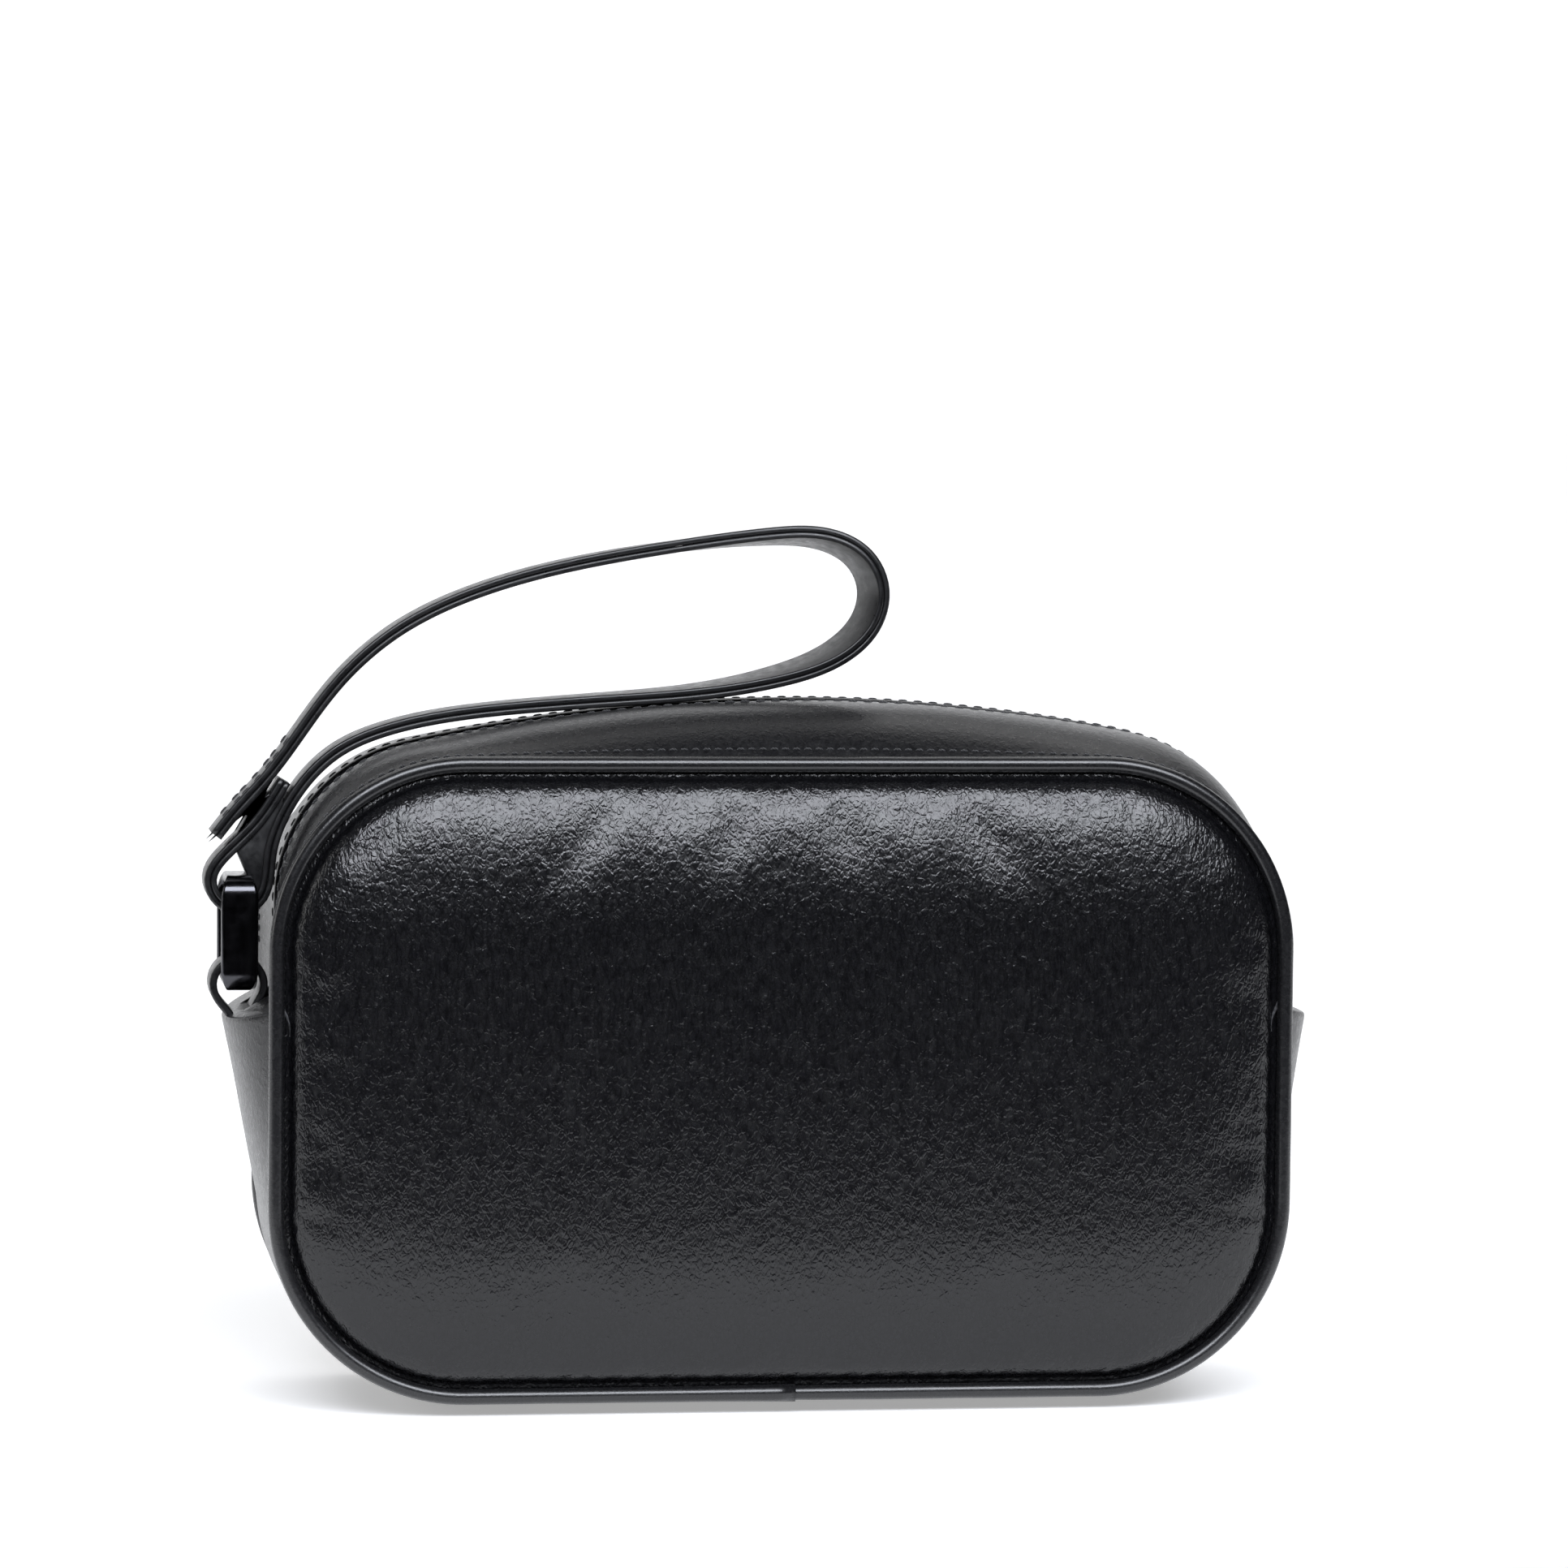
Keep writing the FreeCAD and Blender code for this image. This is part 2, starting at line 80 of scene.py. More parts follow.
CROWN_TOP = 144.2
CROWN_R = 370.0
CROWN_X = 6.0
CROWN_CORNER = 34.0
ZIP_SIDE = 102.0

MOUTH_HALF = 54.0  # shorter than the CAD's 62, so the teeth stay closed where the slider stands
MOUTH_LOW = 88.0
MOUTH_HIGH = 126.0
TAPE_DEPTH = 5.2
TOOTH_PITCH = 2.6
STRAP_HALF = 5.5
WELD = 1e-6  # points nearer than this, in metres, become one
CENTRE_WELD = 2e-5  # the same at the middle of a face, where its rings run together

RING_X = -109.7
RING_Z = 96.4
RING_TALL = 23.6
RING_DEEP = 19.0
RING_BAND = 2.2
RING_WIDE = 8.0
RING_CORNER = 3.8

STRAP_LINE = [
    (-100.4, 127.4), (-106.3, 118.6), (-112.0, 112.9), (-115.5, 107.1), (-113.8, 103.0),
    (-109.7, 101.3), (-105.6, 103.0), (-103.9, 107.1), (-103.2, 113.0), (-100.6, 120.5),
    (-96.0, 127.6), (-90.0, 133.2), (-80.0, 137.8), (-66.0, 140.9), (-50.0, 142.7),
    (-32.0, 144.1), (-14.0, 145.8), (2.0, 149.0), (14.0, 153.9), (20.2, 160.2),
    (21.6, 167.2), (18.6, 173.4), (11.2, 177.3), (0.0, 177.8), (-22.7, 175.2),
    (-42.0, 171.7), (-62.0, 165.9), (-77.5, 158.2), (-90.4, 146.6), (-99.0, 134.9),
    (-104.6, 127.6), (-110.4, 121.2), (-114.4, 116.2),
]


# ---- camera, in metres ----
CAMERA_AZIMUTH = math.radians(8.0)  # towards the end with the strap
CAMERA_PITCH = math.radians(3.6)
CAMERA_ROLL = math.radians(0.5)
CAMERA_DISTANCE = 1.3
FRAME_WIDTH = 0.3178  # what the frame spans at the aimed point
AIM = Vector((-0.0009, -0.030, 0.1284))

camera_data = bpy.data.cameras.new("camera")
camera = bpy.data.objects.new("camera", camera_data)
bpy.context.scene.collection.objects.link(camera)
bpy.context.scene.camera = camera
outward = Vector((-math.sin(CAMERA_AZIMUTH) * math.cos(CAMERA_PITCH),
                  -math.cos(CAMERA_AZIMUTH) * math.cos(CAMERA_PITCH),
                  math.sin(CAMERA_PITCH)))
camera.location = AIM + outward * CAMERA_DISTANCE
facing = (-outward).to_track_quat("-Z", "Y") @ Quaternion((0, 0, 1), CAMERA_ROLL)
camera.rotation_euler = facing.to_euler()
camera_data.sensor_width = 36.0
camera_data.lens = camera_data.sensor_width * CAMERA_DISTANCE / FRAME_WIDTH
camera_data.clip_start = 0.05
camera_data.clip_end = 20.0


# ---- small helpers ----
def smooth(t):
    """Smooth step from 0 to 1."""
    t = np.clip(t, 0.0, 1.0)
    return t * t * (3 - 2 * t)


def wobble(points, size, seed):
    """Smooth noise between about -1 and 1 at points in millimetres."""
    offset = Vector((seed * 17.3, seed * 5.1, seed * 9.7))
    return np.array([noise.noise(Vector(p) / size + offset) for p in points])


def link(name, mesh, materials):
    """New smoothly shaded object for a mesh."""
    mesh.name = name
    for material in materials:
        mesh.materials.append(material)
    mesh.polygons.foreach_set("use_smooth", [True] * len(mesh.polygons))
    piece = bpy.data.objects.new(name, mesh)
    bpy.context.scene.collection.objects.link(piece)
    return piece


def points_of(mesh):
    """Places of a mesh's points, in metres."""
    co = np.zeros(len(mesh.vertices) * 3)
    mesh.vertices.foreach_get("co", co)
    return co.reshape(-1, 3)


def keep_rest(piece):
    """Store each point's place at rest, in millimetres, which the materials read."""
    mesh = piece.data
    co = points_of(mesh) / MM
    rest = mesh.attributes.get("rest") or mesh.attributes.new("rest", "FLOAT_VECTOR", "POINT")
    rest.data.foreach_set("vector", co.astype(np.float32).ravel())


def close_holes(bm):
    """Fill every open edge loop with one face."""
    bmesh.ops.holes_fill(bm, edges=[e for e in bm.edges if e.is_boundary], sides=0)


def arc_length(line):
    """Distance along a line at each of its points, from 0."""
    return np.concatenate([[0], np.cumsum(np.linalg.norm(np.diff(line, axis=0), axis=1))])


def point_at(line, reach, distance):
    """The (x, z) point at a distance along a line, whose points lie at the distances in reach."""
    return np.interp(distance, reach, line[:, 0]), np.interp(distance, reach, line[:, 1])


def profile(line, y):
    """An (x, z) line put at a depth y, as points in space."""
    return np.column_stack([line[:, 0], np.full(len(line), y), line[:, 1]])


def solidify(piece, thickness):
    """Thickness in millimetres to both sides of a sheet, applied by Blender when it renders."""
    modifier = piece.modifiers.new("thickness", "SOLIDIFY")
    modifier.thickness = thickness * MM
    modifier.offset = 0


def grid(points, wrap_rows=False, wrap_cols=False, band=None):
    """bmesh of a grid of points in millimetres; band gives the material index of each column."""
    points = np.asarray(points, float)
    rows, cols = points.shape[:2]
    bm = bmesh.new()
    verts = [[bm.verts.new(Vector(p) * MM) for p in row] for row in points]
    for i in range(rows if wrap_rows else rows - 1):
        for j in range(cols if wrap_cols else cols - 1):
            a, b = (i + 1) % rows, (j + 1) % cols
            face = bm.faces.new((verts[i][j], verts[a][j], verts[a][b], verts[i][b]))
            if band is not None:
                face.material_index = band[j]
    return bm


def finish_mesh(bm, name, materials, merge=WELD):
    """Clean a bmesh and make an object of it."""
    bmesh.ops.remove_doubles(bm, verts=bm.verts, dist=merge)
    bmesh.ops.dissolve_degenerate(bm, edges=bm.edges, dist=merge)
    bmesh.ops.recalc_face_normals(bm, faces=bm.faces)
    mesh = bpy.data.meshes.new(name)
    bm.to_mesh(mesh)
    bm.free()
    piece = link(name, mesh, materials)
    keep_rest(piece)
    return piece


def subdivide(piece):
    """One subdivision, applied by Blender when it renders."""
    modifier = piece.modifiers.new("subdivision", "SUBSURF")
    modifier.levels = 1
    modifier.render_levels = 1


def mouth_weight(rest):
    """How far each point follows the opening mouth: full at the middle of the zip, none at its ends."""
    across = smooth(1 - (rest[:, 0] / MOUTH_HALF) ** 2)
    return across * smooth((rest[:, 2] - MOUTH_LOW) / (MOUTH_HIGH - MOUTH_LOW))


def open_with(piece):
    """Bake a piece's transform into its mesh and work out each point's mouth weight, which nothing uses."""
    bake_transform(piece)
    weight = mouth_weight(points_of(piece.data) / MM)


def spline(points, step):
    """Smooth line through the points about every step: places, unit tangents, distances."""
    p = np.asarray(points, float)
    t = arc_length(p)
    n = len(p)
    h = np.diff(t)
    a = np.zeros((n, n))
    rhs = np.zeros_like(p)
    a[0, 0] = a[-1, -1] = 1
    for i in range(1, n - 1):
        a[i, i - 1:i + 2] = h[i - 1], 2 * (h[i - 1] + h[i]), h[i]
        rhs[i] = 6 * ((p[i + 1] - p[i]) / h[i] - (p[i] - p[i - 1]) / h[i - 1])
    m = np.linalg.solve(a, rhs)
    s = np.linspace(0, t[-1], int(t[-1] / step) + 1)
    k = np.clip(np.searchsorted(t, s, side="right") - 1, 0, n - 2)
    u = (s - t[k])[:, None]
    v = (t[k + 1] - s)[:, None]
    hk = h[k][:, None]
    line = (m[k] * v ** 3 + m[k + 1] * u ** 3) / (6 * hk)
    line += (p[k] / hk - m[k] * hk / 6) * v + (p[k + 1] / hk - m[k + 1] * hk / 6) * u
    tangent = (-m[k] * v ** 2 + m[k + 1] * u ** 2) / (2 * hk)
    tangent += (p[k + 1] - p[k]) / hk - (m[k + 1] - m[k]) * hk / 6
    tangent /= np.linalg.norm(tangent, axis=1)[:, None]
    return line, tangent, s


def rounded_section(half_wide, half_thick, corner, steps=3):
    """Closed rounded rectangle, as (across, through) pairs."""
    pairs = []
    for cx, cz, start in ((1, 1, 0), (-1, 1, 90), (-1, -1, 180), (1, -1, 270)):
        for k in range(steps + 1):
            a = math.radians(start + 90 * k / steps)
            pairs.append((cx * (half_wide - corner) + corner * math.cos(a),
                          cz * (half_thick - corner) + corner * math.sin(a)))
    return np.array(pairs)


def seam_loop(inset, line_x=24, line_z=18, corner=27):
    """Rounded rectangle inside the seam's line, from the bottom's middle towards +X, as (x, z)."""
    r = SEAM_CORNER - inset
    points = []

    def run(x0, z0, x1, z1, count):
        for k in range(count):
            points.append((x0 + (x1 - x0) * k / count, z0 + (z1 - z0) * k / count))

    def turn(cx, cz, start):
        for k in range(corner):
            a = math.radians(start + 90 * k / corner)
            points.append((cx + r * math.cos(a), cz + r * math.sin(a)))
    run(0, CORE_LOW - r, CORE_X, CORE_LOW - r, line_x)
    turn(CORE_X, CORE_LOW, -90)
    run(CORE_X + r, CORE_LOW, CORE_X + r, CORE_HIGH, line_z)
    turn(CORE_X, CORE_HIGH, 0)
    run(CORE_X, CORE_HIGH + r, -CORE_X, CORE_HIGH + r, 2 * line_x)
    turn(-CORE_X, CORE_HIGH, 90)
    run(-CORE_X - r, CORE_HIGH, -CORE_X - r, CORE_LOW, line_z)
    turn(-CORE_X, CORE_LOW, 180)
    run(-CORE_X, CORE_LOW - r, 0, CORE_LOW - r, line_x)
    return np.array(points)


def crown_bulge(y):
    """0 at the seam, 1 beside the zip."""
    return 1 - np.clip((abs(y) - ZIP_Y) / (EDGE_Y - ZIP_Y), 0, 1) ** 3


def base_bulge(y):
    """0 at the seam, 1 over the middle of the depth."""
    return 1 - np.clip(abs(y) / EDGE_Y, 0, 1) ** 2.3


def gusset_end(y):
    """Height of the bottom gusset's top edge, which dips between the seams."""
    return GUSSET_END + DIP * (1 - base_bulge(y))


def crown_line(bulge, inset, low_z, side=18, corner=26, top=84):
    """The zip gusset's outline from low on the left, over the crown, to low on the right, as (x, z)."""
    half = SEAM_HALF + HIDE + (ZIP_SIDE - SEAM_HALF - HIDE) * bulge - inset
    high = SEAM_HIGH + HIDE + (CROWN_TOP - SEAM_HIGH - HIDE) * bulge - inset
    radius = CROWN_R / (bulge + SEAM_CURVE * (1 - bulge)) - inset
    r = SEAM_CORNER + HIDE + (CROWN_CORNER - SEAM_CORNER - HIDE) * bulge - inset
    cx, cz = CROWN_X * bulge, high - radius
    reach = half - r
    ends = {}
    for s in (-1, 1):
        z = cz + math.sqrt((radius - r) ** 2 - (s * reach - cx) ** 2)
        ends[s] = (z, math.atan2(z - cz, s * reach - cx))
    points = [(-half, low_z + (ends[-1][0] - low_z) * k / side) for k in range(side)]
    for k in range(corner):
        a = math.pi + (ends[-1][1] - math.pi) * k / corner
        points.append((-reach + r * math.cos(a), ends[-1][0] + r * math.sin(a)))
    for k in range(top):
        a = ends[-1][1] + (ends[1][1] - ends[-1][1]) * k / top
        points.append((cx + radius * math.cos(a), cz + radius * math.sin(a)))
    for k in range(corner):
        a = ends[1][1] * (1 - k / corner)
        points.append((reach + r * math.cos(a), ends[1][0] + r * math.sin(a)))
    points += [(half, ends[1][0] + (low_z - ends[1][0]) * k / side) for k in range(side + 1)]
    return np.array(points)


def base_line(bulge, inset, high_z, side=22, corner=24, bottom=64):
    """The bottom gusset's outline from high on the left, under the bag, to high on the right."""
    slope = FLARE * bulge
    lean = math.sqrt(1 + slope * slope)
    foot = SEAM_HALF + HIDE + (FLARE_FOOT - SEAM_HALF - HIDE) * bulge - inset * lean
    low = (SEAM_LOW - HIDE) * (1 - bulge) + inset
    r = SEAM_CORNER + HIDE + (FOOT_CORNER - SEAM_CORNER - HIDE) * bulge - inset
    cx = foot + slope * (low + r) - r * lean
    tilt = math.atan(slope)
    join_z = low + r - r * math.sin(tilt)
    heights = [high_z + (join_z - high_z) * k / side for k in range(side)]
    points = [(-(foot + slope * z), z) for z in heights]
    for k in range(corner):
        a = math.pi + tilt + (math.pi / 2 - tilt) * k / corner
        points.append((-cx + r * math.cos(a), low + r + r * math.sin(a)))
    points += [(-cx + 2 * cx * k / bottom, low) for k in range(bottom)]
    mirrored = [(-x, z) for x, z in points[:side + corner]][::-1]
    return np.array(points + [(cx, low)] + mirrored)


# ---- materials ----
def new_material(name):
    """Material with its node tree and its surface shader."""
    material = bpy.data.materials.new(name)
    material.use_nodes = True
    tree = material.node_tree
    return material, tree, tree.nodes["Principled BSDF"]


def node(tree, kind, **values):
    """New shader node with some of its properties set."""
    made = tree.nodes.new(kind)
    for key, value in values.items():
        setattr(made, key, value)
    return made


def rest_coordinates(tree, scale):
    """Position at rest in millimetres, scaled."""
    attribute = node(tree, "ShaderNodeAttribute", attribute_name="rest")
    mapping = node(tree, "ShaderNodeMapping")
    mapping.inputs["Scale"].default_value = scale
    tree.links.new(attribute.outputs["Vector"], mapping.inputs["Vector"])
    return mapping.outputs["Vector"]


def bumped(tree, shader, layers):
    """Chain of bumps: (socket, height in millimetres) pairs."""
    normal = None
    for socket, height in layers:
        bump = node(tree, "ShaderNodeBump")
        bump.inputs["Strength"].default_value = 1.0
        bump.inputs["Distance"].default_value = height * MM
        tree.links.new(socket, bump.inputs["Height"])
        if normal is not None:
            tree.links.new(normal, bump.inputs["Normal"])
        normal = bump.outputs["Normal"]
    tree.links.new(normal, shader.inputs["Normal"])


def noise_socket(tree, vector, scale, detail, rough):
    """Height of a noise texture."""
    made = node(tree, "ShaderNodeTexNoise")
    made.inputs["Scale"].default_value = scale
    made.inputs["Detail"].default_value = detail
    made.inputs["Roughness"].default_value = rough
    tree.links.new(vector, made.inputs["Vector"])
    return made.outputs["Fac"]


def ranged(tree, socket, low, high, out_low, out_high):
    """A value brought from one range to another."""
    made = node(tree, "ShaderNodeMapRange")
    for key, value in (("From Min", low), ("From Max", high), ("To Min", out_low), ("To Max", out_high)):
        made.inputs[key].default_value = value
    tree.links.new(socket, made.inputs["Value"])
    return made.outputs["Result"]


def mixed(tree, factor, dark, light):
    """A colour between dark and light."""
    made = node(tree, "ShaderNodeMix", data_type="RGBA")
    made.inputs["A"].default_value = (*dark, 1)
    made.inputs["B"].default_value = (*light, 1)
    tree.links.new(factor, made.inputs["Factor"])
    return made.outputs["Result"]


def leather(name, dark, light, rough, grain, stretch, depth, coat):
    """Pebbled leather: grains parted by creases, with pores; grain size and depth in millimetres."""
    material, tree, shader = new_material(name)
    vector = rest_coordinates(tree, (1 / grain, 1 / grain, 1 / (grain * stretch)))
    wander = node(tree, "ShaderNodeTexNoise")
    wander.inputs["Scale"].default_value = 0.35
    wander.inputs["Detail"].default_value = 2.0
    tree.links.new(vector, wander.inputs["Vector"])
    shift = node(tree, "ShaderNodeVectorMath", operation="MULTIPLY_ADD")
    shift.inputs[1].default_value = (1.6, 1.6, 1.6)
    tree.links.new(wander.outputs["Color"], shift.inputs[0])
    tree.links.new(vector, shift.inputs[2])
    cells = node(tree, "ShaderNodeTexVoronoi", feature="DISTANCE_TO_EDGE")
    cells.inputs["Scale"].default_value = 1.0
    cells.inputs["Randomness"].default_value = 1.0
    tree.links.new(shift.outputs["Vector"], cells.inputs["Vector"])
    crease = ranged(tree, cells.outputs["Distance"], 0.0, 0.22, 0.0, 1.0)
    fine = noise_socket(tree, vector, 2.6, 3.0, 0.6)
    pebble = noise_socket(tree, shift.outputs["Vector"], 0.62, 2.0, 0.55)
    bumped(tree, shader, [(pebble, depth), (crease, depth * 0.16), (fine, depth * 0.09)])
    tree.links.new(mixed(tree, crease, dark, light), shader.inputs["Base Color"])
    tree.links.new(ranged(tree, pebble, 0.3, 0.7, rough + 0.05, rough - 0.05), shader.inputs["Roughness"])
    shader.inputs["Coat Weight"].default_value = coat
    shader.inputs["Coat Roughness"].default_value = 0.32
    shader.inputs["Specular IOR Level"].default_value = 0.5
    return material


def woven(name, dark, light, pitch, rough):
    """Twill: slanting ribs crossed by threads, at a pitch in millimetres."""
    material, tree, shader = new_material(name)
    vector = rest_coordinates(tree, (1 / pitch, 1 / pitch, 1 / pitch))
    ribs = node(tree, "ShaderNodeTexWave", wave_type="BANDS", bands_direction="DIAGONAL")
    ribs.inputs["Scale"].default_value = 0.5
    ribs.inputs["Distortion"].default_value = 0.4
    tree.links.new(vector, ribs.inputs["Vector"])
    threads = node(tree, "ShaderNodeTexWave", wave_type="BANDS", bands_direction="X")
    threads.inputs["Scale"].default_value = 0.8
    threads.inputs["Distortion"].default_value = 0.6
    tree.links.new(vector, threads.inputs["Vector"])
    bumped(tree, shader, [(ribs.outputs["Fac"], 0.075), (threads.outputs["Fac"], 0.045)])
    tree.links.new(mixed(tree, ribs.outputs["Fac"], dark, light), shader.inputs["Base Color"])
    shader.inputs["Roughness"].default_value = rough
    shader.inputs["Sheen Weight"].default_value = 0.25
    return material


def polished(name, colour, rough, metallic, scale=0.5):
    """Metal or moulded plastic with slight handling marks."""
    material, tree, shader = new_material(name)
    vector = rest_coordinates(tree, (scale, scale, scale))
    marks = noise_socket(tree, vector, 1.0, 4.0, 0.6)
    fine = noise_socket(tree, vector, 9.0, 2.0, 0.6)
    tree.links.new(ranged(tree, marks, 0.3, 0.7, rough * 0.75, rough * 1.35), shader.inputs["Roughness"])
    tree.links.new(mixed(tree, marks, colour, tuple(c * 1.25 for c in colour)), shader.inputs["Base Color"])
    bumped(tree, shader, [(fine, 0.008)])
    shader.inputs["Metallic"].default_value = metallic
    return material


face_leather = leather("face_leather", (0.0020, 0.0020, 0.0024), (0.0050, 0.0050, 0.0060),
                       rough=0.24, grain=0.85, stretch=1.7, depth=0.22, coat=0.0)
gusset_leather = leather("gusset_leather", (0.003, 0.003, 0.0035), (0.006, 0.006, 0.007),
                         rough=0.30, grain=0.85, stretch=1.0, depth=0.10, coat=0.0)
piping_leather = leather("piping_leather", (0.004, 0.004, 0.0045), (0.008, 0.008, 0.009),
                         rough=0.27, grain=0.7, stretch=1.0, depth=0.03, coat=0.35)
strap_leather = leather("strap_leather", (0.006, 0.006, 0.0065), (0.013, 0.013, 0.0145),
                        rough=0.34, grain=0.7, stretch=1.0, depth=0.07, coat=0.20)
edge_paint = polished("edge_paint", (0.006, 0.006, 0.0065), 0.33, 0.0)
black_nickel = polished("black_nickel", (0.055, 0.055, 0.06), 0.17, 1.0)
tooth_plastic = polished("tooth_plastic", (0.012, 0.012, 0.013), 0.30, 0.0)
thread = woven("thread", (0.008, 0.008, 0.009), (0.025, 0.025, 0.027), 0.5, 0.6)
tape_weave = woven("tape_weave", (0.007, 0.007, 0.008), (0.018, 0.018, 0.02), 0.9, 0.75)
lining_twill = woven("lining_twill", (0.018, 0.018, 0.02), (0.045, 0.045, 0.05), 1.1, 0.8)
board_finish = polished("board_finish", (0.05, 0.05, 0.05), 0.6, 0.0)


# ---- padded faces ----
# distance in from the piping of each ring of a face
DOME_D = [-0.6, 0.0, 0.6, 1.2, 1.5, 1.9, 2.5, 3.5, 4.9, 6.8, 9.3, 12.3, 15.8, 19.8, 24.5, 30.0]
CENTRE_STEPS = 8  # rings from the last of those to the middle
CENTRE_RUN = 8.0  # how much further in the middle counts as lying
GROOVE = 1.2  # width of the sunk line between the piping and the padding
GROOVE_DEPTH = 0.9
SHOULDER = 3.0  # rise of a face out of the groove
DOME = 5.9  # slow rise of a face over the rest of its width
DOME_WIDTH = 38.0
FULLNESS = 0.96  # share of that shape that a face has before it is blown up
SETTLE_FRAMES = 20
SETTLE_CAP = 0.45  # how far the cloth simulation may move a point
PAD_BACK = 32.7  # depth of a pad's flat back from the middle of the bag
PAD_SKIN = 0.8  # least thickness of a pad


def dome_rise(d):
    """Height of a face above its seam plane at a distance in from the piping."""
    d = np.maximum(d, 0.0)
    steep = SHOULDER * (1 - np.exp(-np.maximum(d - GROOVE, 0.0))) - GROOVE_DEPTH
    return steep + DOME * (1 - (1 - np.minimum(d / DOME_WIDTH, 1.0)) ** 2.5)


def shrunk(ring, t):
    """A ring of a face drawn in by a share t towards the face's middle line, as (x, z)."""
    half_x = ring[:, 0].max()
    spine = half_x - (ring[:, 2].max() - MID_Z)
    x = ring[:, 0] * (1 - t) + ring[:, 0] * spine / half_x * t
    return np.column_stack([x, ring[:, 2] * (1 - t) + MID_Z * t])


def face_rings(heights):
    """Rings of a face from its rim to its middle; heights(d) gives each ring's height."""
    rings = []
    for d in DOME_D:
        loop = seam_loop(PIPING_R + d)
        rings.append(profile(loop, heights(d)))
    last = rings[-1]
    for k in range(1, CENTRE_STEPS + 1):
        t = k / CENTRE_STEPS
        rings.append(profile(shrunk(last, t), heights(DOME_D[-1] + CENTRE_RUN * t)))
    return np.array(rings)


def rim_distance(rest):
    """How far a point of a face is in from the piping's edge."""
    dx = np.abs(rest[:, 0]) - CORE_X
    dz = np.abs(rest[:, 2] - MID_Z) - (CORE_HIGH - MID_Z)
    outside = np.hypot(np.maximum(dx, 0), np.maximum(dz, 0))
    inside = np.minimum(np.maximum(dx, dz), 0)
    return SEAM_CORNER - PIPING_R - outside - inside


def settle(piece):
    """Blow a padded piece up with cloth pressure, its rim held, each point moving at most SETTLE_CAP."""
    mesh = piece.data
    start = points_of(mesh)
    hold = piece.vertex_groups.new(name="hold")
    for i, d in enumerate(rim_distance(start / MM)):
        weight = 1.0 - float(smooth((d - 1.0) / 7.0)) * 0.97
        hold.add([i], weight, "REPLACE")
    cloth = piece.modifiers.new("cloth", "CLOTH")
    settings = cloth.settings
    settings.quality = 6
    settings.mass = 0.4
    settings.tension_stiffness = 30
    settings.compression_stiffness = 22
    settings.shear_stiffness = 12
    settings.bending_stiffness = 3.0
    settings.air_damping = 4.0
    settings.use_pressure = True
    settings.uniform_pressure_force = 3.2
    settings.shrink_min = -0.012
    settings.effector_weights.gravity = 0
    settings.vertex_group_mass = "hold"
    cloth.point_cache.frame_start = 1
    cloth.point_cache.frame_end = SETTLE_FRAMES
    scene = bpy.context.scene
    for number in range(1, SETTLE_FRAMES + 1):
        scene.frame_set(number)
    blown = piece.evaluated_get(bpy.context.evaluated_depsgraph_get())
    step = points_of(blown.data) - start
    piece.modifiers.remove(cloth)
    scene.frame_set(1)
    length = np.linalg.norm(step, axis=1)[:, None]
    step *= np.minimum(1.0, SETTLE_CAP * MM / np.maximum(length, 1e-9))
    mesh.vertices.foreach_set("co", (start + step).ravel())
    mesh.update()


def crease_face(piece, sign):
    """Small puckers beside the piping and slow undulations over the padding."""
    mesh = piece.data
    rest = points_of(mesh) / MM
    d = rim_distance(rest)
    round_angle = np.arctan2(rest[:, 2] - MID_Z, rest[:, 0] * 0.66)
    around = np.column_stack([np.cos(round_angle) * 14, d * 0.05, np.sin(round_angle) * 14])
    pucker = wobble(around, 1.0, 3.0 + sign) * np.exp(-((d - 3.5) / 3.5) ** 2) * 0.16
    slow = wobble(rest, 34.0, 7.0 + sign) * smooth(d / 14) * 0.14
    medium = wobble(rest, 12.0, 11.0 + sign) * smooth(d / 8) * 0.07
    rest[:, 1] += sign * (pucker + slow + medium)
    mesh.vertices.foreach_set("co", (rest * MM).ravel())
    mesh.update()


def make_face(side):
    """A padded leather face: blown-up front, and a back of the same rings, closed at the rim."""
    sign = SIDES[side]
    rings = face_rings(lambda d: sign * (SEAM_Y + dome_rise(d) * FULLNESS))
    bm = grid(rings, wrap_cols=True)
    piece = finish_mesh(bm, side + "_face", [face_leather, lining_twill], merge=CENTRE_WELD)
    middle = Vector((0, sign * SEAM_Y, MID_Z)) * MM
    centre = min(piece.data.polygons, key=lambda p: (p.center - middle).xz.length)
    if centre.normal.y * sign < 0:
        piece.data.flip_normals()
    settle(piece)
    crease_face(piece, sign)
    rings = face_rings(lambda d: sign * min(SEAM_Y + dome_rise(d) * FULLNESS - PAD_SKIN, PAD_BACK))
    back = grid(rings, wrap_cols=True)
    bmesh.ops.remove_doubles(back, verts=back.verts, dist=CENTRE_WELD)
    for face in back.faces:
        face.material_index = 1
    lining_side = bpy.data.meshes.new("lining_side")
    back.to_mesh(lining_side)
    back.free()
    bm = bmesh.new()
    bm.from_mesh(piece.data)
    bm.from_mesh(lining_side)
    bmesh.ops.bridge_loops(bm, edges=[e for e in bm.edges if e.is_boundary])
    bpy.data.meshes.remove(lining_side)
    bmesh.ops.recalc_face_normals(bm, faces=bm.faces)
    bm.to_mesh(piece.data)
    bm.free()
    piece.data.polygons.foreach_set("use_smooth", [True] * len(piece.data.polygons))
    keep_rest(piece)
    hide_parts(side + "_panel", side + "_panel_top", side + "_padding")
    open_with(piece)


# ---- piping ----
PIPING_SIDES = 18
LAP_START = 0.5  # where the cord's ends stop, past the middle of the bottom
LAP_END = 2.4


